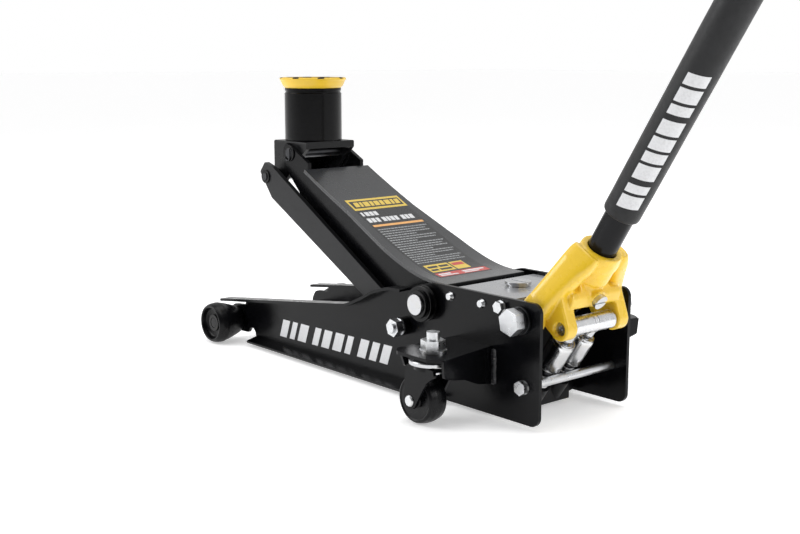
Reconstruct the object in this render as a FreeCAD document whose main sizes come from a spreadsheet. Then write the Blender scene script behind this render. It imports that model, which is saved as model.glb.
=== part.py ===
import FreeCAD, Part
import math
import os
from FreeCAD import Vector, Rotation, Placement

# Hydraulic trolley jack, modelled in millimetres.
# Row frame: +X towards the operating handle, +Y across the width, +Z up, floor at Z = 0.
# Layout figures in this file are counted from the rear edge of the side plates
# (x = 0 there, negative towards the saddle); frame_shift moves them to the row frame,
# whose origin is under the middle of the whole jack.

os.makedirs("parts", exist_ok=True)
doc = FreeCAD.newDocument("floor_jack")
sheet = doc.addObject("Spreadsheet::Sheet", "dims")

DIMS = [
    ("frame_shift", 63.84),
    # side frames
    ("plate_inner", 78.0), ("plate_thick", 5.0), ("top_flange_out", 15.0), ("bottom_flange_out", 20.0),
    # linkage
    ("main_x", -196.4), ("main_z", 126.5), ("link_dx", -41.0), ("link_dz", -37.0),
    ("saddle_x", -537.0), ("saddle_z", 296.0),
    ("main_pin_rad", 13.5), ("main_pin_len", 210.0), ("run_gap", 0.05),
    ("arm_web_in", 46.0), ("arm_web_thick", 6.0), ("arm_top_thick", 5.0),
    ("arm_tube_rad", 19.0), ("arm_tube_len", 140.0),
    ("lever_in", 14.5), ("lever_thick", 8.0), ("lever_drop", 32.0),
    ("link_in", 59.0), ("link_thick", 8.0), ("link_pin_rad", 7.0), ("upper_pin_rad", 5.5), ("saddle_pin_rad", 8.0),
    # saddle
    ("yoke_half", 45.0), ("yoke_thick", 6.0), ("yoke_top", 313.0), ("yoke_top_thick", 10.0),
    ("post_x", -547.0), ("post_rad", 43.0), ("post_height", 76.0),
    ("saddle_rad", 50.0), ("saddle_low_rad", 42.0), ("saddle_height", 16.0),
    # hydraulic unit
    ("block_rear", -84.0), ("block_len", 50.0), ("block_height", 116.0), ("block_base", 6.0),
    ("ram_z", 94.5), ("cyl_rad", 28.0), ("cyl_bore", 22.0), ("piston_len", 10.0),
    ("rod_rad", 9.0), ("cross_pin_rad", 5.0), ("cross_pin_len", 98.0),
    ("tank_rad", 37.0), ("tank_wall", 3.0),
    ("tie_rad", 5.5), ("tie_x", -24.0), ("tie_z", 51.2),
    # pumps
    ("pump_tilt", 34.0), ("pump_x", -16.8), ("pump_z", 99.2),
    ("big_cap_rad", 14.0), ("small_cap_rad", 10.5), ("cap_len", 42.0),
    ("big_plunger_rad", 6.0), ("small_plunger_rad", 4.0),
    # handle
    ("socket_x", -30.7), ("socket_z", 131.3), ("handle_tilt", 31.2),
    ("socket_bolt_rad", 9.0), ("socket_bore", 18.0), ("socket_ring_rad", 25.5),
    ("tube_rad", 17.7), ("tube_wall", 2.0), ("sleeve_rad", 22.5),
    ("upper_tube_rad", 15.6), ("upper_tube_wall", 2.0), ("grip_rad", 18.2),
    ("roller_rad", 11.75), ("roller_half", 37.0), ("roller_pin_rad", 5.0),
    # wheels and casters
    ("front_x", -639.0), ("front_z", 31.0), ("axle_rad", 8.0), ("axle_len", 258.0),
    ("wheel_rad", 31.0),
    ("caster_x", -104.0), ("caster_y", 156.0), ("caster_trail", 18.0), ("stud_rad", 8.0),
    ("caster_wheel_rad", 31.0), ("caster_wheel_half", 14.5), ("rivet_rad", 5.0),
]
for row, (alias, value) in enumerate(DIMS, start=1):
    sheet.set("A%d" % row, alias)
    sheet.set("B%d" % row, str(value))
    sheet.setAlias("B%d" % row, alias)
doc.recompute()
V = {alias: float(sheet.get(alias)) for alias, value in DIMS}
X0 = V["frame_shift"]
FRAME = Placement(Vector(X0, 0, 0), Rotation())
HANDLE = Placement(Vector(X0 + V["socket_x"], 0, V["socket_z"]), Rotation(Vector(0, 1, 0), V["handle_tilt"]))
NODES = {}
counter = [0]


def uid(stem):
    counter[0] += 1
    return "%s_%03d" % (stem, counter[0])


def put(obj, prop, value):
    # a text value is an expression over the sheet, a number is set as it is
    if isinstance(value, str):
        obj.setExpression(prop, value)
    else:
        setattr(obj, prop, value)


def e(text):
    # turn "{alias} + 1" into an expression over the sheet
    return text.replace("{", "dims.").replace("}", "")


def total_of(text):
    # "dims.alias", or "dims.alias + number", or "dims.alias - number"
    parts = text.replace("dims.", "").split()
    total = 0.0
    sign = 1.0
    for token in parts:
        if token == "+":
            sign = 1.0
        elif token == "-":
            sign = -1.0
        elif token in V:
            total += sign * V[token]
        else:
            total += sign * float(token)
    return total


AX = {"x": Rotation(Vector(0, 1, 0), 90), "y": Rotation(Vector(1, 0, 0), -90), "z": Rotation()}


def cyl(radius, length, base, axis="z", fr=FRAME):
    o = doc.addObject("Part::Cylinder", uid("cyl"))
    put(o, "Radius", e(radius) if isinstance(radius, str) else radius)
    put(o, "Height", e(length) if isinstance(length, str) else length)
    o.Placement = fr.multiply(Placement(Vector(*base), AX[axis]))
    return o


def cyl_y(radius, half, x, z, fr=FRAME):
    # a round bar across the width, centred on the mid plane
    o = doc.addObject("Part::Cylinder", uid("bar"))
    put(o, "Radius", e(radius) if isinstance(radius, str) else radius)
    if isinstance(half, str):
        put(o, "Height", "2 * (%s)" % e(half))
        h = total_of(e(half))
    else:
        o.Height = 2 * half
        h = half
    o.Placement = fr.multiply(Placement(Vector(x, -h, z), AX["y"]))
    return o


def cone(r_low, r_high, length, base, axis="z", fr=FRAME):
    o = doc.addObject("Part::Cone", uid("cone"))
    put(o, "Radius1", e(r_low) if isinstance(r_low, str) else r_low)
    put(o, "Radius2", e(r_high) if isinstance(r_high, str) else r_high)
    put(o, "Height", e(length) if isinstance(length, str) else length)
    o.Placement = fr.multiply(Placement(Vector(*base), AX[axis]))
    return o


def box(low, high, fr=FRAME):
    o = doc.addObject("Part::Box", uid("box"))
    o.Length, o.Width, o.Height = [high[i] - low[i] for i in range(3)]
    o.Placement = fr.multiply(Placement(Vector(*low), Rotation()))
    return o


def sphere(radius, centre, fr=FRAME):
    o = doc.addObject("Part::Sphere", uid("ball"))
    put(o, "Radius", e(radius) if isinstance(radius, str) else radius)
    o.Placement = fr.multiply(Placement(Vector(*centre), Rotation()))
    return o


def fuse(*items):
    if len(items) == 1:
        return items[0]
    o = doc.addObject("Part::MultiFuse", uid("fuse"))
    o.Shapes = list(items)
    return o


def cut(base, *tools):
    tool = tools[0] if len(tools) == 1 else fuse(*tools)
    o = doc.addObject("Part::Cut", uid("cut"))
    o.Base = base
    o.Tool = tool
    return o


def common(a, b):
    o = doc.addObject("Part::Common", uid("common"))
    o.Base = a
    o.Tool = b
    return o


def group(*items):
    o = doc.addObject("Part::Compound", uid("group"))
    o.Links = list(items)
    return o


def mirror(obj):
    o = doc.addObject("Part::Mirroring", uid("mirror"))
    o.Source = obj
    o.Normal = Vector(0, 1, 0)
    o.Base = Vector(0, 0, 0)
    return o


def both(make):
    # the same piece on the two sides, as two separate solids
    a = make()
    return group(a, mirror(a))


def node(obj, label):
    obj.Label = label
    NODES[label] = obj
    return obj


def hexa(af, length, base, axis="y", fr=FRAME, turn=0.0):
    o = doc.addObject("Part::Prism", uid("hex"))
    o.Polygon = 6
    o.Circumradius = af / math.sqrt(3.0)
    put(o, "Height", length)
    o.Placement = fr.multiply(Placement(Vector(*base), AX[axis].multiply(Rotation(Vector(0, 0, 1), turn))))
    return o


def loop(points):
    # closed outline; a point is (a, b) or (a, b, corner radius)
    n = len(points)
    pts = [(p[0], p[1], p[2] if len(p) > 2 else 0.0) for p in points]
    starts, ends, arcs = [], [], []
    for i in range(n):
        ax, ay, _ = pts[i - 1]
        bx, by, r = pts[i]
        cx, cy, _ = pts[(i + 1) % n]
        ux, uy = ax - bx, ay - by
        wx, wy = cx - bx, cy - by
        lu, lw = math.hypot(ux, uy), math.hypot(wx, wy)
        ux, uy, wx, wy = ux / lu, uy / lu, wx / lw, wy / lw
        ang = math.acos(max(-1, min(1, ux * wx + uy * wy)))
        if r <= 0 or ang > math.pi - 0.02:
            starts.append((bx, by))
            ends.append((bx, by))
            arcs.append(None)
            continue
        cutback = min(r / math.tan(ang / 2), 0.49 * lu, 0.49 * lw)
        rr = cutback * math.tan(ang / 2)
        p1 = (bx + ux * cutback, by + uy * cutback)
        p2 = (bx + wx * cutback, by + wy * cutback)
        hx, hy = ux + wx, uy + wy
        hl = math.hypot(hx, hy)
        dist = rr / math.sin(ang / 2)
        mid = (bx + hx / hl * (dist - rr), by + hy / hl * (dist - rr))
        starts.append(p1)
        ends.append(p2)
        arcs.append(mid)
    geo = []
    for i in range(n):
        if arcs[i] is not None:
            geo.append(Part.Arc(Vector(starts[i][0], starts[i][1], 0), Vector(arcs[i][0], arcs[i][1], 0),
                                Vector(ends[i][0], ends[i][1], 0)))
        j = (i + 1) % n
        if math.hypot(ends[i][0] - starts[j][0], ends[i][1] - starts[j][1]) > 1e-4:
            geo.append(Part.LineSegment(Vector(ends[i][0], ends[i][1], 0), Vector(starts[j][0], starts[j][1], 0)))
    return geo


def circle(x, y, r):
    return [Part.Circle(Vector(x, y, 0), Vector(0, 0, 1), r)]


def hull_points(circles, steps=10):
    # outline round several discs (x, y, radius)
    pts = []
    for cx, cy, r in circles:
        for k in range(4 * steps):
            a = 2 * math.pi * k / (4 * steps)
            pts.append((round(cx + r * math.cos(a), 4), round(cy + r * math.sin(a), 4)))
    pts = sorted(set(pts))

    def half(seq):
        out = []
        for p in seq:
            while len(out) >= 2 and ((out[-1][0] - out[-2][0]) * (p[1] - out[-2][1])
                                     - (out[-1][1] - out[-2][1]) * (p[0] - out[-2][0])) <= 0:
                out.pop()
            out.append(p)
        return out
    low = half(pts)
    high = half(reversed(pts))
    return low[:-1] + high[:-1]


def plane_of(body, role):
    for f in body.Origin.OriginFeatures:
        if f.Role == role:
            return f
    raise RuntimeError(role)


def sketch(body, role, loops, offset=0.0):
    s = body.newObject("Sketcher::SketchObject", uid("outline"))
    s.AttachmentSupport = [(plane_of(body, role), "")]
    s.MapMode = "FlatFace"
    s.AttachmentOffset = Placement(Vector(0, 0, offset), Rotation())
    for geo in loops:
        s.addGeometry(geo, False)
    return s


def pad(body, sk, length, reverse=False):
    p = body.newObject("PartDesign::Pad", uid("pad"))
    p.Profile = sk
    put(p, "Length", e(length) if isinstance(length, str) else length)
    p.Reversed = reverse
    body.Tip = p
    return p


def revolve(body, sk, axis="V_Axis"):
    p = body.newObject("PartDesign::Revolution", uid("turn"))
    p.Profile = sk
    p.ReferenceAxis = (sk, [axis])
    p.Angle = 360
    body.Tip = p
    return p


def pocket(body, sk, length, reverse=False):
    doc.recompute()
    before = body.Shape.Volume
    p = body.newObject("PartDesign::Pocket", uid("pocket"))
    p.Profile = sk
    put(p, "Length", e(length) if isinstance(length, str) else length)
    p.Reversed = reverse
    body.Tip = p
    doc.recompute()
    if body.Shape.Volume > before - 1:
        raise RuntimeError("a pocket in %s cuts nothing" % body.Name)
    return p


def body(name):
    return doc.addObject("PartDesign::Body", name)


def shift(points):
    return [(p[0] + X0,) + tuple(p[1:]) for p in points]


def plate_xz(name, outline, holes, y_face, thick):
    # a flat plate in the X-Z plane from Y = -y_face, growing towards -Y
    b = body(name)
    loops = [loop(shift(outline))] + [circle(x + X0, z, r) for x, z, r in holes]
    sk = sketch(b, "XZ_Plane", loops)
    sk.setExpression(".AttachmentOffset.Base.z", e(y_face) if isinstance(y_face, str) else str(y_face))
    pad(b, sk, thick)
    return b


def solid_feature(label, shape):
    o = doc.addObject("Part::Feature", label)
    o.Shape = shape
    return o


def face_of(geo):
    edges = [g.toShape() for g in geo]
    return Part.Face(Part.Wire(Part.__sortEdges__(edges)))


def prism_xz(outline, y0, y1):
    # outline in X-Z, extruded across Y, in the row frame
    f = face_of(loop(shift(outline)))
    f.rotate(Vector(0, 0, 0), Vector(1, 0, 0), 90)
    f.translate(Vector(0, y0, 0))
    return f.extrude(Vector(0, y1 - y0, 0))


# ---------------------------------------------------------------- side frames
A = (V["main_x"], V["main_z"])
B = (A[0] + V["link_dx"], A[1] + V["link_dz"])
C = (V["saddle_x"], V["saddle_z"])
D = (C[0] + V["link_dx"], C[1] + V["link_dz"])
FX, FZ = V["front_x"], V["front_z"]

TOP_EDGE = [(-185, 154.5), (-207, 149), (-233, 140.5), (-259, 139.5), (-290, 130), (-311, 119), (-333, 109),
            (-351, 102.4), (-378, 98.6), (-473, 87.0), (-578, 73.2), (-616, 67.8)]
web_outline = [(0, 5.4, 12), (0, 154.5, 12)]
web_outline += [(-185, 154.5, 30), (-207, 149, 30), (-233, 140.5, 30), (-259, 139.5, 30), (-290, 130, 30), (-311, 119, 40),
                (-333, 109, 40), (-351, 102.4, 40), (-378, 98.6, 60), (-616, 67.8), (-618, 57, 1),
                (-652, 54, 14), (-661, 40, 14), (-661, 22, 14), (-648, 12.5, 12), (-612, 14, 3), (-607, 21, 6),
                (-599, 24, 6), (-592, 18, 4), (-590, 9.5, 1.5), (-165, 9.0, 2), (-160, 5.4, 3)]
bolt_holes = [(A[0], A[1], V["main_pin_rad"] + 0.05), (B[0], B[1], V["link_pin_rad"] + 0.05),
              (V["socket_x"], V["socket_z"], V["socket_bolt_rad"] + 0.05), (V["tie_x"], V["tie_z"], V["tie_rad"] + 0.05),
              (FX, FZ, V["axle_rad"] + 0.05), (-152, 141.7, 3.05), (-96.4, 141.3, 3.05), (-63, 142.6, 4.05)]
side = plate_xz("side_plate_near_body", web_outline, bolt_holes, "{plate_inner}", "{plate_thick}")
# turned-out flange along the top edge, ending as a tongue above the front wheel
band_top = [(-233, 140.7), (-259, 139.7), (-290, 130.2), (-311, 119.2), (-333, 109.2), (-351, 102.6), (-378, 98.8), (-616, 68.0), (-668, 61.2)]
band_low = [(x, z - 4.2) for x, z in reversed(band_top)]
band = [(p[0], p[1], 40) for p in band_top[:-1]] + [(band_top[-1][0], band_top[-1][1], 1.5), (band_low[0][0], band_low[0][1], 1.5)] + [(p[0], p[1], 36) for p in band_low[1:]]
sk = sketch(side, "XZ_Plane", [loop(shift(band))])
sk.setExpression(".AttachmentOffset.Base.z", "dims.plate_inner + 0.5")
pad(side, sk, "{top_flange_out} + {plate_thick} - 0.5")
# turned-out flange along the bottom edge
prof = [(-80.5, 13.4), (-80.5, 9.0), (-83.0, 8.6), (-103.2, 4.6, 1), (-104.2, 8.4, 1), (-84.5, 13.2)]
sk = sketch(side, "YZ_Plane", [loop(prof)])
sk.setExpression(".AttachmentOffset.Base.z", "dims.frame_shift - 586")
pad(side, sk, 418.0)
node(side, "side_plate_left")
node(mirror(side), "side_plate_right")

# ---------------------------------------------------------------- front axle and wheels
node(cyl_y("{axle_rad}", 129.0, FX, FZ), "front_axle")
spacer = cut(cyl(14.0, 2.6, (FX, 83.0, FZ), "y"), cyl("{axle_rad}", 2.6, (FX, 83.0, FZ), "y"))
node(group(spacer, mirror(spacer)), "front_wheel_washers")
clip = cut(cyl(13.0, 3.0, (FX, 126.2, FZ), "y"), cyl("{axle_rad}", 3.0, (FX, 126.2, FZ), "y"))
node(group(clip, mirror(clip)), "front_axle_clips")


def turned(name, profile, place, bore=None):
    # profile of (radius, height) turned about the body's own Z axis
    b = body(name)
    sk = sketch(b, "XZ_Plane", [loop(profile)])
    revolve(b, sk)
    b.Placement = place
    return b


wheel_profile = [(8.05, 0), (20.5, 0, 3), (23.0, 6, 8), (28.2, 22, 30), (31.0, 33, 6), (31.0, 36, 6), (30.2, 44, 14), (27.6, 49.0, 2),
                 (24.6, 49.0, 1.5), (22.5, 41.0, 3), (16.5, 39.8, 1), (8.05, 39.8)]
wheel = turned("front_wheel_far_body", wheel_profile, Placement(Vector(FX + X0, 86.0, FZ), AX["y"]))
node(wheel, "front_wheel_right")
node(mirror(wheel), "front_wheel_left")

# ---------------------------------------------------------------- caster brackets, casters
CX, CY = V["caster_x"], V["caster_y"]
bracket = body("caster_bracket_far_body")
top_outline = [(-78.2, 83.2), (-146, 83.2), (-146, 176, 6), (-134, 188, 10), (-78, 188, 14), (-61, 178, 5)]
sk = sketch(bracket, "XY_Plane", [loop(shift(top_outline)), circle(CX + X0, CY, 8.3)], 88.0)
pad(bracket, sk, 4.0)
flange2 = [(83.2, 90), (175, 90), (167, 69, 3), (158, 64, 8), (120, 50, 10), (83.2, 48)]
sk = sketch(bracket, "YZ_Plane", [loop(flange2)], X0 - 145.9)
pad(bracket, sk, 4.0)
# the rear flange runs slantwise in plan, from the side plate out to the corner
slant = face_of(loop(shift([(-82.2, 83.2), (-78.2, 83.2), (-60.9, 179.0), (-64.9, 179.0)])))
slant.translate(Vector(0, 0, 40))
slant_solid = slant.extrude(Vector(0, 0, 51))
flange = face_of(loop([(83.2, 91), (179, 91), (176.5, 70, 3), (160, 65, 8), (138, 61, 6), (112, 50, 8), (83.2, 44)]))
flange.rotate(Vector(0, 0, 0), Vector(1, 1, 1), 120)
flange.translate(Vector(X0 - 90, 0, 0))
rear_flange = solid_feature("caster_bracket_rear_flange", slant_solid.common(flange.extrude(Vector(40, 0, 0))).Solids[0])
bracket_far = fuse(bracket, rear_flange)
node(bracket_far, "caster_bracket_right")
node(mirror(bracket_far), "caster_bracket_left")


def far_pair(obj, stem):
    node(obj, stem + "_right")
    node(mirror(obj), stem + "_left")


stud = fuse(cyl("{stud_rad}", 41.0, (CX, CY, 75.2)), cyl(12.0, 5.2, (CX, CY, 66.0)), cyl(7.99, 6.0, (CX, CY, 70.0)))
node(both(lambda: stud), "caster_studs")
nut = cut(fuse(hexa(26.0, 12.0, (CX, CY, 94.6), "z", turn=18), cyl(16.5, 2.6, (CX, CY, 92.0))), cyl(8.0, 15.0, (CX, CY, 91.8)))
node(both(lambda: nut), "caster_nuts")
race = body("caster_race_far_body")
sk = sketch(race, "XZ_Plane", [loop([(8.0, 87.9), (24.0, 87.9, 2), (29.4, 83.0, 2), (29.4, 78.4, 1), (26.0, 77.2, 0.5), (26.0, 80.6), (21.5, 84.4), (8.0, 84.4)])])
revolve(race, sk)
race.Placement = Placement(Vector(CX + X0, CY, 0), Rotation())
node(both(lambda: race), "caster_bearing_races")

WX = CX - V["caster_trail"]
fork_top = cut(fuse(cyl(24.0, 4.0, (CX, CY, 72.0)), cyl(20.0, 6.5, (CX, CY, 76.0))), cyl(8.05, 14.0, (CX, CY, 70.0)), cyl(12.4, 3.0, (CX, CY, 70.0)))


def fork_leg(y_low):
    b = body(uid("fork_leg"))
    pts = [(-81, 76, 2), (-127, 76, 2), (-130.5, 66, 6), (WX - 11.0, 31, 0), (WX - 9.6, 25.5, 0), (WX - 5.5, 21.5, 0), (WX, 20, 0),
           (WX + 5.5, 21.5, 0), (WX + 9.6, 25.5, 0), (WX + 12.5, 31, 4), (-93, 58, 12), (-79, 68, 5)]
    s2 = sketch(b, "XZ_Plane", [loop(shift(pts)), circle(WX + X0, FZ, V["rivet_rad"])], -y_low)
    pad(b, s2, 4.4, reverse=True)
    return b


leg_out = fork_leg(CY + 17.0)
leg_in = fork_leg(CY - 21.4)
fork_bridge = cut(box((-126.0, CY - 21.4, 72.0), (-82.0, CY + 21.4, 76.0)), cyl(12.4, 9.0, (CX, CY, 70.0)))
fork = fuse(leg_out, leg_in, fork_bridge, fork_top)
far_pair(fork, "caster_fork")
rivet = fuse(cyl("{rivet_rad}", 46.4, (WX, CY - 23.4, FZ), "y"), cone(7.5, 6.0, 2.4, (WX, CY + 21.4, FZ), "y"), cone(6.0, 7.5, 2.0, (WX, CY - 23.4, FZ), "y"))
far_pair(rivet, "caster_axle_rivet")
tread = [(5.05, -14.5), (9.5, -14.5, 1), (10.5, -12.8, 1), (24.5, -12.8, 1), (26.5, -14.3, 1.5), (29.2, -12.5, 4), (31.0, -4, 14), (31.0, 4, 14),
         (29.2, 12.5, 4), (26.5, 14.3, 1.5), (24.5, 12.8, 1), (10.5, 12.8, 1), (9.5, 14.5, 1), (5.05, 14.5)]
cw = turned("caster_wheel_far_body", tread, Placement(Vector(WX + X0, CY, V["caster_wheel_rad"]), AX["y"]))
far_pair(cw, "caster_wheel")

# ---------------------------------------------------------------- hydraulic unit
RZ = V["ram_z"]
blk = body("valve_block_body")
sk = sketch(blk, "YZ_Plane", [loop([(-77.8, 6, 9), (-77.8, 122, 9), (77.8, 122, 9), (77.8, 6, 9)])])
sk.setExpression(".AttachmentOffset.Base.z", "dims.frame_shift + dims.block_rear - dims.block_len")
pad(blk, sk, "{block_len}")
PUMPS = {}
for key, yy in (("big", -20.0), ("small", 20.0)):
    PUMPS[key] = Placement(Vector(X0 + V["pump_x"], yy, V["pump_z"]), Rotation(Vector(0, 1, 0), V["pump_tilt"]))
nose = box((-84.5, -42, 6.4), (-62.0, 42, 34.0))
boss_big = cyl(15.0, 34.0, (0, 0, -107.5), fr=PUMPS["big"])
boss_small = cyl(12.5, 34.0, (0, 0, -107.5), fr=PUMPS["small"])
neck = cyl(17.0, 26.0, (-115.0, 0, 120.4))
block_solid = fuse(blk, nose, boss_big, boss_small, neck)
block_cut = cut(block_solid,
                cyl("{cyl_rad} + 0.02", 47.0, (-135.0, 0, RZ), "x"),
                cyl(11.55, 30.0, (-115.0, 0, 122.6)),
                cyl(4.6, 60.0, (0, 0, -122.0), fr=HANDLE),
                cyl(8.5, 30.0, (0, 0, -95.0), fr=PUMPS["big"]),
                cyl(6.5, 30.0, (0, 0, -95.0), fr=PUMPS["small"]),
                box((-100, -78, -4), (-40, 78, 6.0)))
node(block_cut, "valve_block")

tube = cut(cyl("{cyl_rad}", 60.6, (-148.6, 0, RZ), "x"), cyl("{cyl_bore}", 60.6, (-150.0, 0, RZ), "x"))
node(tube, "ram_cylinder")
gland = cut(fuse(cyl(21.98, 4.6, (-148.6, 0, RZ), "x"), cyl(25.0, 3.4, (-152.0, 0, RZ), "x")), cyl("{rod_rad} + {run_gap}", 20.0, (-156.0, 0, RZ), "x"))
node(gland, "gland_nut")
tank = cut(cyl("{tank_rad}", 16.0, (-150.2, 0, RZ), "x"), cyl("{tank_rad} - {tank_wall}", 13.0, (-147.2, 0, RZ), "x"), cyl("{cyl_rad} + 0.05", 20.0, (-151.0, 0, RZ), "x"))
node(tank, "reservoir_tank")

ram_frame = FRAME
px = A[0]
piston = cut(cyl("{cyl_bore} - 0.05", "{piston_len}", (px + 73.8, 0, RZ), "x"), cyl("{rod_rad}", 20.0, (px + 70.4, 0, RZ), "x"),
             cut(cyl(23.0, 4.0, (px + 76.8, 0, RZ), "x"), cyl(18.5, 4.0, (px + 76.8, 0, RZ), "x")))
node(piston, "ram_piston")
node(cut(cyl(21.93, 3.96, (px + 76.82, 0, RZ), "x"), cyl(18.5, 3.96, (px + 76.82, 0, RZ), "x")), "piston_seal")
eye = cut(fuse(cyl("{rod_rad}", 83.8, (px, 0, RZ), "x"), cyl(9.5, 24.0, (px, -12.0, RZ), "y")), cyl("{cross_pin_rad}", 30.0, (px, -15.0, RZ), "y"))
node(eye, "ram_rod")
node(cyl_y("{cross_pin_rad}", 49.0, px, RZ), "crosshead_pin")
spring_tube = cut(cyl(5.0, 25.8, (-160.0, 43.0, RZ), "x"), cyl(3.2, 25.8, (-160.0, 43.0, RZ), "x"))
node(both(lambda: spring_tube), "arm_return_springs")

# cover with turned-down edges, and its screws
lid = body("top_cover_body")
sk = sketch(lid, "YZ_Plane", [loop([(-77.6, 133, 0.5), (-77.6, 150.5, 3), (77.6, 150.5, 3), (77.6, 133, 0.5), (74.6, 133, 0.5), (74.6, 147.0, 1), (-74.6, 147.0, 1), (-74.6, 133, 0.5)])])
sk.setExpression(".AttachmentOffset.Base.z", "dims.frame_shift - 158")
pad(lid, sk, 100.0)
lid_cut = cut(lid, cyl(12.0, 10.0, (-115.0, 0, 143.0)),
              cyl_y(3.05, 85.0, -152, 141.7), cyl_y(3.05, 85.0, -96.4, 141.3), cyl_y(4.05, 85.0, -63, 142.6))
node(lid_cut, "top_cover")


def screw(x, z, shank, head, grow):
    return fuse(cyl(shank, 14.0, (x, 73.0, z), "y"), cone(head, head * 0.7, grow, (x, 83.05, z), "y"), cyl(shank, 4.0, (x, 80.0, z), "y"))


s1 = screw(-152, 141.7, 3.0, 6.0, 4.4)
s2 = screw(-96.4, 141.3, 3.0, 6.0, 4.4)
node(group(s1, mirror(s1), s2, mirror(s2)), "cover_screws")
s3 = fuse(cyl(4.0, 14.0, (-63, 73.0, 142.6), "y"), hexa(13.0, 6.5, (-63, 84.6, 142.6), "y", turn=10), cyl(8.0, 1.6, (-63, 83.05, 142.6), "y"))
node(group(s3, mirror(s3)), "cover_bolts")
plug = cut(fuse(cyl(17.0, 3.4, (-115.0, 0, 153.2)), cyl(14.5, 3.0, (-115.0, 0, 150.6)), cyl(11.5, 26.0, (-115.0, 0, 126.0))), box((-135, -1.6, 154.9), (-95, 1.6, 158)))
node(plug, "filler_plug")

# tie rod across the rear with its end bolts
node(cyl_y("{tie_rad}", 83.0, V["tie_x"], V["tie_z"]), "tie_rod")
tb = fuse(cyl(8.6, 1.6, (V["tie_x"], 83.05, V["tie_z"]), "y"), hexa(16.0, 7.0, (V["tie_x"], 84.65, V["tie_z"]), "y", turn=25))
node(group(tb, mirror(tb)), "tie_rod_bolts")

# main pivot pin and its outer rings
node(cyl_y("{main_pin_rad}", 105.0, A[0], A[1]), "main_pivot_pin")
ring = cut(fuse(cyl(23.0, 5.0, (A[0], 83.05, A[1]), "y"), cyl(21.4, 5.4, (A[0], 88.05, A[1]), "y")), cyl("{main_pin_rad}", 20.0, (A[0], 82.0, A[1]), "y"))
node(both(lambda: ring), "main_pivot_collars")
ring2 = cut(fuse(cyl(23.0, 3.4, (A[0], 93.5, A[1]), "y"), cyl(18.4, 4.6, (A[0], 96.9, A[1]), "y")), cyl("{main_pin_rad}", 20.0, (A[0], 92.0, A[1]), "y"))
node(both(lambda: ring2), "main_pivot_retaining_rings")

# pivot bolts of the handle socket
SX, SZ = V["socket_x"], V["socket_z"]
sb = fuse(cyl("{socket_bolt_rad}", 35.0, (SX, 58.5, SZ), "y"), hexa(29.0, 13.0, (SX, 92.0, SZ), "y", turn=18))
node(group(sb, mirror(sb)), "socket_pivot_bolts")
sw = cut(cyl(17.0, 4.0, (SX, 83.05, SZ), "y"), cyl("{socket_bolt_rad}", 6.0, (SX, 82.0, SZ), "y"))
node(group(sw, mirror(sw)), "socket_flat_washers")
sl = cut(cyl(14.8, 4.4, (SX, 87.2, SZ), "y"), cyl("{socket_bolt_rad}", 8.0, (SX, 86.0, SZ), "y"), box((SX - 1.5, 86, SZ + 8), (SX + 1.5, 93, SZ + 18)))
node(group(sl, mirror(sl)), "socket_lock_washers")

# lower pivots of the links
lb = cyl("{link_pin_rad}", 53.5, (B[0], 57.0, B[1]), "y")
node(group(lb, mirror(lb)), "link_bolts_lower")
lh = cut(cyl(11.0, 10.3, (B[0], 67.5, B[1]), "y"), cyl("{link_pin_rad}", 12.0, (B[0], 67.0, B[1]), "y"))
node(group(lh, mirror(lh)), "link_bushes_lower")
lo = cut(cyl(12.0, 10.8, (B[0], 83.05, B[1]), "y"), cyl("{link_pin_rad}", 16.0, (B[0], 82.0, B[1]), "y"))
node(group(lo, mirror(lo)), "link_spacers_outer")
ln = cut(fuse(hexa(21.0, 11.0, (B[0], 96.0, B[1]), "y", turn=12), cyl(11.5, 2.1, (B[0], 93.9, B[1]), "y")), cyl("{link_pin_rad}", 30.0, (B[0], 90.0, B[1]), "y"))
node(group(ln, mirror(ln)), "link_nuts")

# ---------------------------------------------------------------- lifting arm
def spline_z(points, x):
    pts = sorted(points)
    for (x0, z0), (x1, z1) in zip(pts, pts[1:]):
        if x0 <= x <= x1:
            return z0 + (z1 - z0) * (x - x0) / (x1 - x0)
    return pts[0][1] if x < pts[0][0] else pts[-1][1]


ARM_TOP = [(-490, 275.2), (-440, 249.6), (-386, 224.0), (-340, 203.0), (-297, 183.6), (-255, 167.0), (-217, 156.4), (-190, 153.2), (-171.5, 152.6)]


def offset_curve(points, dist):
    out = []
    for i, (x, z) in enumerate(points):
        x0, z0 = points[max(i - 1, 0)]
        x1, z1 = points[min(i + 1, len(points) - 1)]
        tx, tz = x1 - x0, z1 - z0
        n = math.hypot(tx, tz)
        out.append((x + tz / n * dist, z - tx / n * dist))
    return out


def spline_edge(points):
    c = Part.BSplineCurve()
    c.interpolate([Vector(x + X0, 0, z) for x, z in points])
    return c.toShape()


ARM_LOW = offset_curve(ARM_TOP, V["arm_top_thick"])
edges = [spline_edge(ARM_TOP), spline_edge(ARM_LOW)]
for i in (0, -1):
    edges.append(Part.LineSegment(Vector(ARM_TOP[i][0] + X0, 0, ARM_TOP[i][1]), Vector(ARM_LOW[i][0] + X0, 0, ARM_LOW[i][1])).toShape())
strip = Part.Face(Part.Wire(Part.__sortEdges__(edges)))
strip.translate(Vector(0, -80, 0))
strip_solid = strip.extrude(Vector(0, 160, 0))
plan = face_of(loop(shift([(-500, -60), (-477, -60), (-386, -61.5, 60), (-297, -70, 60), (-160, -72), (-160, 72), (-297, 70, 60), (-386, 61.5, 60), (-477, 60), (-500, 60)])))
plan.translate(Vector(0, 0, 100))
plan_solid = plan.extrude(Vector(0, 0, 220))
arm_top = solid_feature("arm_top_plate_feature", strip_solid.common(plan_solid).Solids[0])
node(arm_top, "arm_top_plate")

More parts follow.
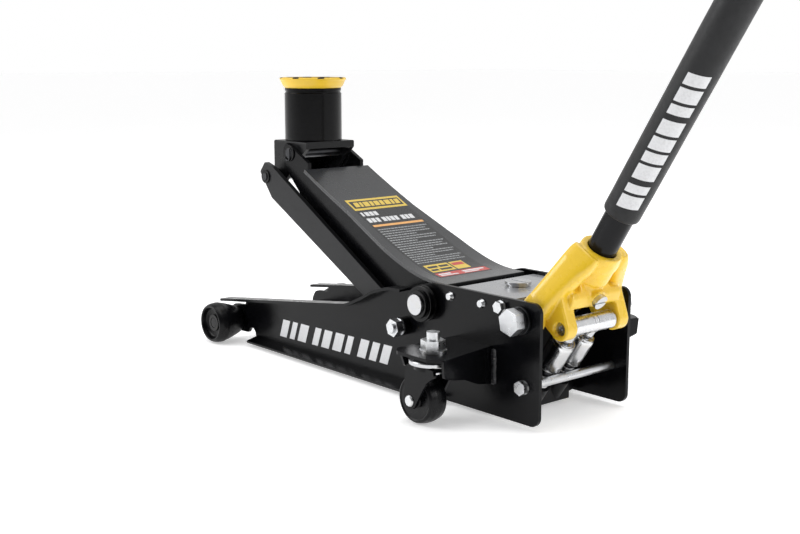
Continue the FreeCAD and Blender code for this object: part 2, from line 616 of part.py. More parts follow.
# side webs of the arm, under the top plate
ARM_GAP = offset_curve(ARM_TOP, V["arm_top_thick"] + 0.15)
top_edge = [p for p in ARM_GAP if p[0] > -480]
geo = []
low_pts = [(-491.5, 268.6), (-491.5, 283.6), (-545.2, 310.8), (-551.5, 305.6), (-554.0, 296.0), (-551.5, 285.5), (-537, 262.5), (-505, 231.0), (-487, 206.5), (-476, 198.0),
           (-376, 138.5), (-328, 112.0), (-288, 98.5), (-240, 96.5), (-216, 101.5), (-205, 105.0), (-192, 105.2), (-181, 109.2), (-174, 118), (-171.5, 130), (-171.7, 147.4)]
curve = [(-491.5, 268.6)] + [p for p in ARM_GAP[1:-1]] + [(-171.7, 147.4)]
edges = [spline_edge(curve)]
for p, q in zip(low_pts, low_pts[1:]):
    edges.append(Part.LineSegment(Vector(p[0] + X0, 0, p[1]), Vector(q[0] + X0, 0, q[1])).toShape())
web_face = Part.Face(Part.Wire(Part.__sortEdges__(edges)))
web_face.translate(Vector(0, V["arm_web_in"], 0))
web_shape = web_face.extrude(Vector(0, V["arm_web_thick"], 0))
for hx, hz, hr in ((A[0], A[1], V["arm_tube_rad"] + 0.02), (C[0], C[1], V["saddle_pin_rad"] + V["run_gap"])):
    drill = Part.makeCylinder(hr, 40, Vector(hx + X0, 30, hz), Vector(0, 1, 0))
    web_shape = web_shape.cut(drill)
web = solid_feature("arm_web_far_feature", web_shape.Solids[0])
node(web, "arm_web_right")
node(mirror(web), "arm_web_left")
node(cut(cyl_y("{arm_tube_rad}", "{arm_tube_len} - 70", A[0], A[1]), cyl_y("{main_pin_rad} + {run_gap}", 80.0, A[0], A[1])), "arm_pivot_tube")

# lever plates that the ram pushes, each with a slot for the crosshead pin
lever = body("arm_lever_body")
lever_pts = hull_points([(A[0], A[1], 21.0), (A[0], A[1] - 39.0, 11.5)], 8)
slot_w = V["cross_pin_rad"] + 1.45
slot = [(A[0] - slot_w, A[1] - 25.5, 5.9), (A[0] + slot_w, A[1] - 25.5, 5.9), (A[0] + slot_w, A[1] - 46.6, 5.9), (A[0] - slot_w, A[1] - 46.6, 5.9)]
sk = sketch(lever, "XZ_Plane", [loop(shift(lever_pts)), circle(A[0] + X0, A[1], V["arm_tube_rad"] + 0.02), loop(shift(slot))])
sk.setExpression(".AttachmentOffset.Base.z", "dims.lever_in")
pad(lever, sk, "{lever_thick}")
node(group(lever, mirror(lever)), "arm_lever_plates")
# ---------------------------------------------------------------- links that keep the saddle level
link_outline = [(-594.5, 265.5, 3), (-581.5, 281, 4), (-561, 274.5, 6), (-537, 260, 6), (-303, 124.2, 12), (-258, 106.8, 6), (-230, 106.0, 6), (-219.5, 94, 6), (-220, 80, 6),
                (-236, 69, 6), (-262, 65.5, 6), (-371, 124.5, 12), (-564.5, 227.8, 6)]
link = plate_xz("link_near_body", link_outline, [(B[0], B[1], V["link_pin_rad"] + V["run_gap"]), (D[0], D[1], V["upper_pin_rad"] + V["run_gap"])], "{link_in}", "{link_thick}")
node(link, "link_bar_left")
far_link = plate_xz("link_far_body", link_outline, [(B[0], B[1], V["link_pin_rad"] + V["run_gap"]), (D[0], D[1], V["upper_pin_rad"] + V["run_gap"])], "0 - {link_in} - {link_thick}", "{link_thick}")
node(far_link, "link_bar_right")

# ---------------------------------------------------------------- saddle bracket, post and saddle
yoke = body("saddle_bracket_body")
cheek = [(-587, 313), (-505, 313), (-505, 303, 2), (-521, 289, 6), (-531, 278.5, 8), (-560, 252, 6), (-571, 246.5, 6), (-584, 246.5, 8), (-591.5, 254, 6), (-591.5, 266, 5), (-587, 271, 4)]
outer = [(-45, 246), (-45, 313, 2.5), (45, 313, 2.5), (45, 246), (39, 246), (39, 303, 3), (-39, 303, 3), (-39, 246)]
sk = sketch(yoke, "YZ_Plane", [loop(outer)])
sk.setExpression(".AttachmentOffset.Base.z", "dims.frame_shift - 592")
pad(yoke, sk, 87.0)
side_profile = solid_feature("bracket_profile", prism_xz(cheek, -60, 60))
yoke_cut = cut(fuse(common(yoke, side_profile), box((-587.0, -39.5, 252.0), (-584.0, 39.5, 303.5))), cyl_y("{saddle_pin_rad}", 60.0, C[0], C[1]), cyl_y("{upper_pin_rad}", 60.0, D[0], D[1]), cyl(14.0, 30.0, (V["post_x"], 0, 290.0)))
node(yoke_cut, "saddle_bracket")
node(cyl_y("{saddle_pin_rad}", 54.5, C[0], C[1]), "saddle_hinge_pin")
node(cyl_y("{upper_pin_rad}", 70.5, D[0], D[1]), "link_pin_upper")
us = cut(cyl(11.0, 13.7, (D[0], 45.05, D[1]), "y"), cyl("{upper_pin_rad}", 16.0, (D[0], 44.0, D[1]), "y"))
node(group(us, mirror(us)), "link_spacers_upper")
uc = cut(cyl(10.0, 1.6, (D[0], 67.4, D[1]), "y"), cyl("{upper_pin_rad}", 4.0, (D[0], 66.0, D[1]), "y"))
node(group(uc, mirror(uc)), "link_pin_clips")
hc = cut(cyl(12.0, 1.5, (C[0], 52.4, C[1]), "y"), cyl("{saddle_pin_rad}", 4.0, (C[0], 51.0, C[1]), "y"))
node(group(hc, mirror(hc)), "saddle_pin_clips")

PX = V["post_x"]
post_profile = [(0, 304.6), (13.7, 304.6, 0.5), (13.7, 313.35), (43.0, 313.35, 1.2), (43.0, 383.6, 0.6), (41.6, 384.6, 0.4), (41.6, 386.6, 0.4), (42.6, 387.6, 0.4), (42.6, 391.2, 0.8), (30, 391.2), (16.0, 391.2), (16.0, 378.0), (0, 378.0)]
post = turned("saddle_post_body", post_profile, Placement(Vector(PX + X0, 0, 0), Rotation()))
node(post, "saddle_post")
cup = body("saddle_cup_body")
sk = sketch(cup, "XZ_Plane", [loop([(0, 378.4), (15.9, 378.4, 0.4), (15.9, 391.3), (42.0, 391.3, 1), (45.2, 394.5, 3), (48.6, 402.0, 3), (50.0, 404.0, 1), (50.0, 406.2, 1), (47.6, 407.0, 0.6), (42.6, 407.0, 0.6), (41.6, 398.0, 1), (0, 398.0)])])
revolve(cup, sk)
cup.Placement = Placement(Vector(PX + X0, 0, 0), Rotation())
notches = [box((39.5, -5.2, 405.2), (52.0, 5.2, 409.0), fr=FRAME.multiply(Placement(Vector(PX, 0, 0), Rotation(Vector(0, 0, 1), 22.5 + 45 * k)))) for k in range(8)]
node(cut(cup, *notches), "saddle_cup")
pad_base = cyl(40.8, 6.4, (PX, 0, 398.05))
bars = []
for k in range(8):
    fr = FRAME.multiply(Placement(Vector(PX, 0, 0), Rotation(Vector(0, 0, 1), 22.5 + 45 * k)))
    bars.append(fuse(box((28.0, -4.9, 402.0), (40.6, 4.9, 407.0), fr=fr), box((39.0, -4.9, 405.35), (48.6, 4.9, 407.0), fr=fr)))
node(fuse(pad_base, *bars), "saddle_pad")

# ---------------------------------------------------------------- handle socket casting, local frame: Z along the handle, X towards the rear underside
H = HANDLE


def local_prism(outline, x0, x1, fr=H):
    # outline in (Y, Z) of the handle frame, extruded along its X
    b = doc.addObject("Part::Feature", uid("cast"))
    f = face_of(loop(outline))
    f.rotate(Vector(0, 0, 0), Vector(1, 1, 1), 120)
    f.translate(Vector(x0, 0, 0))
    b.Shape = f.extrude(Vector(x1 - x0, 0, 0))
    b.Placement = fr
    return b


def local_side(outline, y0, y1, fr=H):
    # outline in (X, Z) of the handle frame, extruded along Y
    b = doc.addObject("Part::Feature", uid("ear"))
    f = face_of(loop(outline))
    f.rotate(Vector(0, 0, 0), Vector(1, 0, 0), 90)
    f.translate(Vector(0, y0, 0))
    b.Shape = f.extrude(Vector(0, y1 - y0, 0))
    b.Placement = fr
    return b


RS, RV = 10.4, 34.9
legs = local_prism([(25.4, 97.5, 2), (28, 80, 20), (76, 20, 12), (76, -14, 6), (59.8, -14, 3), (57, 6, 6), (44, 24, 8), (-44, 24, 8), (-57, 6, 6),
                    (-59.8, -14, 3), (-76, -14, 6), (-76, 20, 12), (-28, 80, 20), (-25.4, 97.5, 2)], -15.0, 12.0)
ringc = cyl("{socket_ring_rad}", 40.0, (0, 0, 58.0), fr=H)
core = cyl(22.5, 74.0, (0, 0, 24.0), fr=H)
hubs = [cyl(19.6, 16.2, (0, 59.8, 0), "y", fr=H), cyl(19.6, 16.2, (0, -76.0, 0), "y", fr=H)]
ear_out = hull_points([(RV, RS, 14.5), (2.0, 38.0, 14.0), (0.0, 12.0, 12.0)], 7)
ears = [local_side(ear_out, 38.2, 56.0), local_side(ear_out, -56.0, -38.2)]
lip = local_side([(-6, 26, 2), (24, 28, 4), (29, 33, 4), (26, 46, 6), (12, 56, 6), (-6, 56, 2)], -44.0, 44.0)
boss = cyl(12.0, 14.0, (15.0, 0, 42.0), "x", fr=H)
pocket1 = local_prism([(25.5, 50, 4), (25.5, 74, 3), (31, 70, 4), (48, 46, 6), (40, 50, 5)], -9.0, 30.0)
pocket2 = local_prism([(-25.5, 50, 4), (-25.5, 74, 3), (-31, 70, 4), (-48, 46, 6), (-40, 50, 5)], -9.0, 30.0)
casting = cut(fuse(legs, ringc, core, hubs[0], hubs[1], ears[0], ears[1], lip, boss),
              pocket1, pocket2,
              cyl("{socket_bore}", 130.0, (0, 0, -20.0), fr=H),
              box((-40, -38.2, -40), (70, 38.2, 24.5), fr=H),
              cyl_y("{socket_bolt_rad} + {run_gap}", 90.0, 0, 0, fr=H),
              cyl_y("{roller_pin_rad}", 50.0, RV, RS, fr=H), cyl(8.4, 8.0, (RV, 50.0, RS), "y", fr=H),
              cyl(8.4, 8.0, (RV, -58.0, RS), "y", fr=H),
              cyl(4.0, 20.0, (14.0, 0, 42.0), "x", fr=H))
node(casting, "handle_socket")
node(cut(fuse(cyl_y("{roller_pin_rad}", 49.5, RV, RS, fr=H)), cyl(2.2, 6.0, (RV, 45.0, RS), "y", fr=H), cyl(2.2, 6.0, (RV, -51.0, RS), "y", fr=H)), "roller_pin")
rc = []
for yy in (50.1, -51.7):
    rc.append(cut(cyl(8.2, 1.6, (RV, yy, RS), "y", fr=H), cyl(3.6, 4.0, (RV, yy - 1, RS), "y", fr=H)))
node(group(*rc), "roller_pin_clips")
roll = body("pump_roller_body")
sk = sketch(roll, "XZ_Plane", [loop([(5.05, -36.6), (10.6, -36.6), (11.75, -35.4), (11.75, -5.5), (10.9, -4.6), (10.9, -2.4), (11.75, -1.6), (11.75, 1.6), (10.9, 2.4), (10.9, 4.6), (11.75, 5.5), (11.75, 35.4), (10.6, 36.6), (5.05, 36.6)])])
revolve(roll, sk)
roll.Placement = H.multiply(Placement(Vector(RV, 0, RS), AX["y"]))
node(roll, "pump_roller")
node(cut(fuse(cyl(3.98, 12.0, (18.6, 0, 42.0), "x", fr=H), cyl(9.4, 6.0, (29.05, 0, 42.0), "x", fr=H)), box((33.4, -10, 40.9), (36, 10, 43.1), fr=H)), "handle_set_screw")

# ---------------------------------------------------------------- handle
node(cut(cyl("{tube_rad}", 562.0, (0, 0, 28.0), fr=H), cyl("{tube_rad} - {tube_wall}", 564.0, (0, 0, 27.0), fr=H)), "handle_lower_tube")
node(cut(cyl("{sleeve_rad}", 400.0, (0, 0, 148.0), fr=H), cyl("{tube_rad}", 402.0, (0, 0, 147.0), fr=H)), "handle_sleeve")
node(cut(cyl("{upper_tube_rad}", 536.0, (0, 0, 536.0), fr=H), cyl("{upper_tube_rad} - {upper_tube_wall}", 538.0, (0, 0, 535.0), fr=H)), "handle_upper_tube")
node(cut(cyl("{grip_rad}", 128.0, (0, 0, 944.0), fr=H), cyl("{upper_tube_rad}", 129.0, (0, 0, 943.0), fr=H)), "handle_grip")
node(fuse(cyl(18.2, 4.0, (0, 0, 1072.1), fr=H), cyl(13.5, 14.0, (0, 0, 1058.1), fr=H)), "handle_end_cap")
fork_plug = cyl(15.6, 26.0, (0, 0, 30.0), fr=H)
prongs = common(cut(cyl(13.5, 31.0, (0, 0, 0.0), fr=H), cyl(9.5, 27.0, (0, 0, -1.0), fr=H)), box((-5.0, -20, 0), (5.0, 20, 32), fr=H))
node(fuse(fork_plug, prongs, cyl(13.5, 4.2, (0, 0, 26.0), fr=H)), "handle_release_fork")

# ---------------------------------------------------------------- release valve
node(fuse(sphere(8.0, (0, 0, 0), fr=H), cyl(4.5, 117.0, (0, 0, -118.0), fr=H)), "release_valve_stem")

# ---------------------------------------------------------------- pumps
for key, rp, cap, wall, head in (("big", "{big_plunger_rad}", "{big_cap_rad}", 1.6, 9.0), ("small", "{small_plunger_rad}", "{small_cap_rad}", 1.5, 7.0)):
    fr = PUMPS[key]
    cap_r = V["big_cap_rad"] if key == "big" else V["small_cap_rad"]
    r_pl = V["big_plunger_rad"] if key == "big" else V["small_plunger_rad"]
    barrel_r = 8.48 if key == "big" else 6.48
    node(cut(cyl(barrel_r, 57.0, (0, 0, -94.5), fr=fr), cyl(r_pl + 0.05, 57.0, (0, 0, -93.0), fr=fr)), "pump_barrel_" + key)
    node(fuse(cyl(rp, 78.0, (0, 0, -62.0), fr=fr), cyl(head, 12.5, (0, 0, 4.6), fr=fr)), "pump_plunger_" + key)
    shell = cut(cyl(cap, "{cap_len}", (0, 0, -42.0), fr=fr), cyl(cap_r - wall, 37.0, (0, 0, -43.0), fr=fr), cyl(cap_r - 2.2, 2.4, (0, 0, -2.0), fr=fr), cyl(rp, 14.0, (0, 0, -10.0), fr=fr))
    node(shell, "plunger_cap_" + key)
    node(cut(cyl(cap_r - wall - 0.6, 35.3, (0, 0, -73.3), fr=fr), cyl(barrel_r + 0.45, 37.0, (0, 0, -74.0), fr=fr)), "plunger_spring_" + key)

# ---------------------------------------------------------------- identical or mating small pieces share one node
SHARED = [
    ("caster_brackets", ["caster_bracket_left", "caster_bracket_right"]),
    ("arm_webs", ["arm_web_left", "arm_web_right"]),
    ("socket_washers", ["socket_flat_washers", "socket_lock_washers"]),
    ("main_pivot_rings", ["main_pivot_collars", "main_pivot_retaining_rings"]),
    ("link_lower_spacers", ["link_bushes_lower", "link_spacers_outer"]),
    ("pump_barrels", ["pump_barrel_big", "pump_barrel_small"]),
    ("plunger_springs", ["plunger_spring_big", "plunger_spring_small"]),
    ("cover_fasteners", ["cover_screws", "cover_bolts"]),
    ("caster_studs_and_nuts", ["caster_studs", "caster_nuts"]),
    ("pump_plunger_near", ["pump_plunger_big", "plunger_cap_big"]),
    ("pump_plunger_far", ["pump_plunger_small", "plunger_cap_small"]),
    ("handle_grip_and_cap", ["handle_grip", "handle_end_cap"]),
    ("bracket_pins", ["saddle_hinge_pin", "link_pin_upper"]),
    ("bracket_spacers_and_clips", ["link_spacers_upper", "link_pin_clips", "saddle_pin_clips"]),
    ("roller_axle_and_clips", ["roller_pin", "roller_pin_clips"]),
    ("front_axle_washers_and_clips", ["front_wheel_washers", "front_axle_clips"]),
    ("arm_pivot_tube_and_levers", ["arm_pivot_tube", "arm_lever_plates"]),
    ("tie_rod_and_bolts", ["tie_rod", "tie_rod_bolts"]),
]
for shared, members in SHARED:
    node(group(*[NODES.pop(m) for m in members]), shared)

# ---------------------------------------------------------------- checks and files
doc.recompute()
problems = []
for obj in doc.Objects:
    if "Invalid" in obj.State or "Error" in obj.State:
        problems.append("%s (%s): %s" % (obj.Name, obj.Label, obj.State))
box_all = FreeCAD.BoundBox()
for label, obj in NODES.items():
    shape = obj.Shape
    if shape.isNull() or not shape.isValid() or not shape.Solids:
        problems.append("%s has no valid solid" % label)
        continue
    box_all.add(shape.BoundBox)
if problems:
    raise RuntimeError("; ".join(problems))
if len(NODES) > 60:
    raise RuntimeError("too many nodes: %d" % len(NODES))
for name in os.listdir("parts"):
    if name.endswith(".step") and name[:-5] not in NODES:
        os.remove(os.path.join("parts", name))
for label, obj in sorted(NODES.items()):
    obj.Shape.exportStep("parts/%s.step" % label)
print("nodes", len(NODES))
print("box", [round(v, 2) for v in (box_all.XMin, box_all.XMax, box_all.YMin, box_all.YMax, box_all.ZMin, box_all.ZMax)])
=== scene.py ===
import math

import bpy
from mathutils import Matrix, Vector, noise
from mathutils.bvhtree import BVHTree


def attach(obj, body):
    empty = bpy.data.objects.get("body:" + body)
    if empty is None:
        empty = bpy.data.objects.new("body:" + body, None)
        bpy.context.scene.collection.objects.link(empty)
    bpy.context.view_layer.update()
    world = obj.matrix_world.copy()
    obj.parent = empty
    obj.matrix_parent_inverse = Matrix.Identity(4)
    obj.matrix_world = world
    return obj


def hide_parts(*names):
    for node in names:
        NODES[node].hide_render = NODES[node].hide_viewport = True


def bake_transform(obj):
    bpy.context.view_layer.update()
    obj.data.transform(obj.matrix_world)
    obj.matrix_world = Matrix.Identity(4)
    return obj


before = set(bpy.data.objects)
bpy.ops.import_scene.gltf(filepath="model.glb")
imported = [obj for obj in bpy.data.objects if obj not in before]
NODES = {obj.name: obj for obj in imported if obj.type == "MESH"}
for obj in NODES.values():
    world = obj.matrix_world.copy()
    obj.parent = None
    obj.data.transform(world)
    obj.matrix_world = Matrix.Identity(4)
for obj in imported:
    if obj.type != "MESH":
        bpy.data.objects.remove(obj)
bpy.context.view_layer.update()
SCENE = bpy.context.scene
SHIFT = 63.84  # millimetres from the side frames' rear edge to the row origin


def P(x, y, z):
    """A point of the jack in millimetres, in the row frame in metres."""
    return Vector(((x + SHIFT) / 1000.0, y / 1000.0, z / 1000.0))


# ---------------------------------------------------------------- materials
class Mat:
    def __init__(self, name, **constants):
        self.m = bpy.data.materials.new(name)
        self.m.use_nodes = True
        self.t = self.m.node_tree
        self.t.nodes.clear()
        out = self.t.nodes.new("ShaderNodeOutputMaterial")
        self.b = self.t.nodes.new("ShaderNodeBsdfPrincipled")
        self.t.links.new(self.b.outputs["BSDF"], out.inputs["Surface"])
        self.co = self.t.nodes.new("ShaderNodeTexCoord").outputs["Object"]
        for key, value in constants.items():
            self.b.inputs[key.replace("_", " ")].default_value = value

    def new(self, kind, **props):
        n = self.t.nodes.new(kind)
        for k, v in props.items():
            setattr(n, k, v)
        return n

    def link(self, a, b):
        self.t.links.new(a, b)

    def noise(self, scale, detail=4.0, rough=0.55, stretch=None, distort=0.0):
        n = self.new("ShaderNodeTexNoise")
        n.inputs["Scale"].default_value = scale
        n.inputs["Detail"].default_value = detail
        n.inputs["Roughness"].default_value = rough
        n.inputs["Distortion"].default_value = distort
        if stretch:
            m = self.new("ShaderNodeMapping")
            m.inputs["Scale"].default_value = stretch
            self.link(self.co, m.inputs["Vector"])
            self.link(m.outputs["Vector"], n.inputs["Vector"])
        else:
            self.link(self.co, n.inputs["Vector"])
        return n.outputs["Fac"]

    def cells(self, scale, feature="F1"):
        n = self.new("ShaderNodeTexVoronoi", feature=feature)
        n.inputs["Scale"].default_value = scale
        self.link(self.co, n.inputs["Vector"])
        return n.outputs["Distance"]

    def lines(self, axis, scale, distort=0.0):
        n = self.new("ShaderNodeTexWave", wave_type="BANDS", bands_direction=axis)
        n.inputs["Scale"].default_value = scale
        n.inputs["Distortion"].default_value = distort
        self.link(self.co, n.inputs["Vector"])
        return n.outputs["Fac"]

    def spread(self, fac, low, high, a=0.3, b=0.7):
        n = self.new("ShaderNodeMapRange")
        for key, value in (("From Min", a), ("From Max", b), ("To Min", low), ("To Max", high)):
            n.inputs[key].default_value = value
        self.link(fac, n.inputs["Value"])
        return n.outputs["Result"]

    def ramp(self, fac, stops):
        n = self.new("ShaderNodeValToRGB")
        r = n.color_ramp
        while len(r.elements) < len(stops):
            r.elements.new(0.5)
        for e, (pos, col) in zip(r.elements, stops):
            e.position = pos
            e.color = (*col, 1.0)
        self.link(fac, n.inputs["Fac"])
        return n.outputs["Color"]

    def math(self, op, a, b):
        n = self.new("ShaderNodeMath", operation=op)
        for k, v in enumerate((a, b)):
            if isinstance(v, (int, float)):
                n.inputs[k].default_value = v
            else:
                self.link(v, n.inputs[k])
        return n.outputs[0]

    def colour(self, out):
        self.link(out, self.b.inputs["Base Color"])

    def rough(self, out):
        self.link(out, self.b.inputs["Roughness"])

    def bump(self, *layers):
        last = None
        for height, strength, distance in layers:
            n = self.new("ShaderNodeBump")
            n.inputs["Strength"].default_value = strength
            n.inputs["Distance"].default_value = distance
            self.link(height, n.inputs["Height"])
            if last is not None:
                self.link(last, n.inputs["Normal"])
            last = n.outputs["Normal"]
        self.link(last, self.b.inputs["Normal"])


def tint(c, k):
    return tuple(max(0.0, min(1.0, v * k)) for v in c)


def paint(name, c, low, high, coat=0.0, orange=0.22, vary=0.18, level=0.5, specks=0.22, wave=0.10):
    """Powder coat or enamel: slow colour drift, patchy gloss, fine orange peel and a few specks of dust."""
    m = Mat(name, Metallic=0.0, Coat_Weight=coat, Coat_Roughness=0.12)
    m.b.inputs["Specular IOR Level"].default_value = level
    drift = m.noise(14.0, 5.0)
    dust = m.spread(m.noise(950.0, 2.0, 0.6), 0.0, 1.0, 0.70, 0.80)
    base = m.ramp(drift, [(0.30, tint(c, 1.0 - vary)), (0.70, tint(c, 1.0 + vary))])
    mix = m.new("ShaderNodeMix", data_type="RGBA")
    m.link(m.math("MULTIPLY", dust, specks), mix.inputs["Factor"])
    m.link(base, mix.inputs["A"])
    mix.inputs["B"].default_value = (min(1, c[0] * 1.5 + 0.05), min(1, c[1] * 1.5 + 0.05), min(1, c[2] * 1.5 + 0.05), 1)
    m.colour(mix.outputs["Result"])
    m.rough(m.spread(m.noise(48.0, 6.0), low, high))
    m.bump((m.noise(620.0, 2.0), orange, 0.00035), (m.noise(90.0, 3.0), wave, 0.0006))
    return m.m


def metal(name, c, low, high, brush=None, cloud=0.10, scale=60.0):
    """Plated or ground steel: clouded plating, fine tool marks, patchy roughness."""
    m = Mat(name, Metallic=1.0)
    cloud_n = m.noise(scale, 6.0)
    warm = (c[0] * 1.02, c[1] * 0.99, c[2] * 0.93)
    m.colour(m.ramp(cloud_n, [(0.28, tint(c, 1.0 - cloud)), (0.52, c), (0.75, tint(warm, 1.0 - cloud * 0.4))]))
    m.rough(m.spread(m.noise(scale * 2.3, 5.0), low, high))
    fine = m.noise(520.0, 4.0, 0.6, stretch=brush) if brush else m.noise(900.0, 3.0)
    m.bump((fine, 0.22, 0.00025))
    return m.m


M = {}
M["frame"] = paint("powder_coat_black", (0.0022, 0.0023, 0.0030), 0.17, 0.27, orange=0.16, level=0.15)
M["arm"] = paint("powder_coat_charcoal", (0.0042, 0.0044, 0.0052), 0.25, 0.35, orange=0.16, level=0.24)
M["link"] = paint("powder_coat_charcoal_links", (0.0060, 0.0062, 0.0074), 0.28, 0.38, orange=0.18, level=0.26)
M["cover"] = paint("satin_cover_paint", (0.23, 0.237, 0.252), 0.25, 0.31, coat=0.5, orange=0.04, vary=0.04, specks=0.05, wave=0.03)
# the arm's top plate: the same black powder coat as the arm's webs, with a lighter base colour that is painted light
# falling on its top face; its clear coat and gloss are real
M["arm_plate"] = paint("powder_coat_arm_plate_painted_top_light", (0.0150, 0.0163, 0.0188), 0.24, 0.33, coat=0.45, orange=0.07, level=0.35, vary=0.08, specks=0.10, wave=0.03)
M["post"] = paint("black_enamel_post", (0.0014, 0.0014, 0.0018), 0.15, 0.24, orange=0.14, level=0.18)
M["cast_black"] = paint("black_painted_casting", (0.0035, 0.0035, 0.0045), 0.32, 0.48, orange=0.5, level=0.2)
M["tube"] = paint("powder_coat_tube", (0.0024, 0.0026, 0.0038), 0.18, 0.28, orange=0.14, level=0.20)
M["yellow"] = paint("yellow_enamel_casting", (0.86, 0.56, 0.030), 0.22, 0.33, coat=0.40, orange=0.26, vary=0.06)
M["cup"] = paint("yellow_enamel_saddle", (0.82, 0.53, 0.028), 0.32, 0.44, coat=0.15, orange=0.25, vary=0.06)
M["zinc"] = metal("bright_zinc_plate", (0.60, 0.61, 0.625), 0.24, 0.38)
M["chrome"] = metal("polished_chrome", (0.50, 0.505, 0.52), 0.18, 0.28, cloud=0.08)
M["cap"] = metal("zinc_plated_caps", (0.68, 0.685, 0.70), 0.18, 0.28, cloud=0.08)
M["ground"] = metal("ground_steel", (0.62, 0.625, 0.64), 0.16, 0.28, brush=(1, 0.12, 1))
M["wire"] = metal("spring_wire", (0.60, 0.605, 0.62), 0.20, 0.32)
M["oxide"] = metal("black_oxide_steel", (0.055, 0.056, 0.06), 0.28, 0.42, cloud=0.25)

# weld bead colour: near-black metal, and the light grey patches at the top of the ramp are painted highlights that make
# the bead stand out
m = Mat("weld_metal_painted_glints", Metallic=0.0)
m.colour(m.ramp(m.noise(320.0, 5.0), [(0.35, (0.008, 0.008, 0.010)), (0.62, (0.020, 0.020, 0.023)), (0.72, (0.16, 0.15, 0.14))]))
m.rough(m.spread(m.noise(500.0, 3.0), 0.22, 0.42))
m.bump((m.noise(700.0, 4.0), 0.6, 0.0004))
M["weld"] = m.m

m = Mat("lathe_turned_steel", Metallic=1.0)
m.colour(m.ramp(m.noise(70.0, 4.0), [(0.3, (0.62, 0.625, 0.64)), (0.7, (0.74, 0.745, 0.755))]))
m.rough(m.spread(m.noise(160.0, 5.0), 0.20, 0.32))
m.bump((m.lines("Y", 520.0, 0.0), 0.05, 0.00006), (m.noise(500.0, 2.0), 0.03, 0.0001))
M["turned"] = m.m

m = Mat("moulded_nylon", Metallic=0.0)
m.colour(m.ramp(m.noise(38.0, 5.0), [(0.3, (0.0020, 0.0021, 0.0026)), (0.7, (0.0042, 0.0043, 0.0052))]))
m.b.inputs["Specular IOR Level"].default_value = 0.20
m.rough(m.spread(m.noise(85.0, 6.0), 0.22, 0.38))
m.bump((m.noise(1100.0, 3.0), 0.18, 0.0002), (m.noise(120.0, 4.0), 0.10, 0.0005))
M["nylon"] = m.m

m = Mat("moulded_rubber", Metallic=0.0)
m.colour(m.ramp(m.noise(60.0, 6.0), [(0.3, (0.010, 0.010, 0.010)), (0.7, (0.022, 0.022, 0.023))]))
m.rough(m.spread(m.noise(200.0, 5.0), 0.55, 0.75))
m.bump((m.noise(1500.0, 4.0), 0.5, 0.0003), (m.cells(420.0), 0.2, 0.0003))
M["rubber"] = m.m

m = Mat("skinned_foam", Metallic=0.0, Sheen_Weight=0.06, Sheen_Roughness=0.5)
m.colour(m.ramp(m.noise(55.0, 6.0), [(0.3, (0.0050, 0.0052, 0.0062)), (0.7, (0.0095, 0.0097, 0.0112))]))
m.rough(m.spread(m.noise(140.0, 5.0), 0.42, 0.56))
m.bump((m.cells(1300.0), 0.28, 0.00035), (m.noise(2600.0, 2.0), 0.35, 0.00018), (m.noise(35.0, 3.0), 0.18, 0.0012))
M["foam"] = m.m
m.b.inputs["Specular IOR Level"].default_value = 0.34


def ink(name, c, rough=0.4, vary=0.12, metallic=0.0):
    """Printed film: slight mottling, small pin holes and a soft clear coat."""
    m = Mat(name, Metallic=metallic, Coat_Weight=0.15, Coat_Roughness=0.2)
    m.colour(m.ramp(m.noise(420.0, 4.0), [(0.25, tint(c, 1 - vary)), (0.5, c), (0.75, tint(c, 1 + vary * 0.5))]))
    m.rough(m.spread(m.noise(260.0, 4.0), rough - 0.06, rough + 0.08))
    m.bump((m.noise(1400.0, 2.0), 0.12, 0.0001))
    return m.m


M["ink_white"] = ink("ink_silver_white", (0.70, 0.705, 0.72), 0.36)
M["ink_grey"] = ink("ink_grey", (0.30, 0.31, 0.32), 0.45)
M["ink_dark"] = ink("label_film_dark", (0.0065, 0.0067, 0.0078), 0.30)
M["ink_black"] = ink("ink_black", (0.010, 0.010, 0.011), 0.4)
M["ink_yellow"] = ink("ink_yellow", (0.70, 0.50, 0.07), 0.4)
M["ink_orange"] = ink("ink_orange", (0.80, 0.40, 0.12), 0.4)
M["ink_red"] = ink("ink_red", (0.50, 0.055, 0.045), 0.4)


# ---------------------------------------------------------------- carried-over CAD nodes
def dress(name, mat, bevel=0.0004, flat=0.6, segments=2):
    """Material, rounded edges and clean shading for a CAD node. Its own mesh isn't changed."""
    o = NODES[name]
    me = o.data
    for a in ("custom_normal", "sharp_face", "sharp_edge"):
        if a in me.attributes:
            me.attributes.remove(me.attributes[a])
    me.materials.clear()
    me.materials.append(M[mat])
    me.shade_smooth()
    w = o.modifiers.new("weld", "WELD")
    w.merge_threshold = 0.00001
    d = o.modifiers.new("merge_flat", "DECIMATE")
    d.decimate_type = "DISSOLVE"
    d.angle_limit = math.radians(flat)
    if bevel:
        b = o.modifiers.new("edge_round", "BEVEL")
        b.width = bevel
        b.segments = segments
        b.limit_method = "ANGLE"
        b.angle_limit = math.radians(33)
        b.use_clamp_overlap = True
        b.miter_outer = "MITER_ARC"
    s = o.modifiers.new("split", "EDGE_SPLIT")
    s.split_angle = math.radians(40)
    n = o.modifiers.new("normals", "WEIGHTED_NORMAL")
    n.keep_sharp = True
    n.weight = 60
    return o


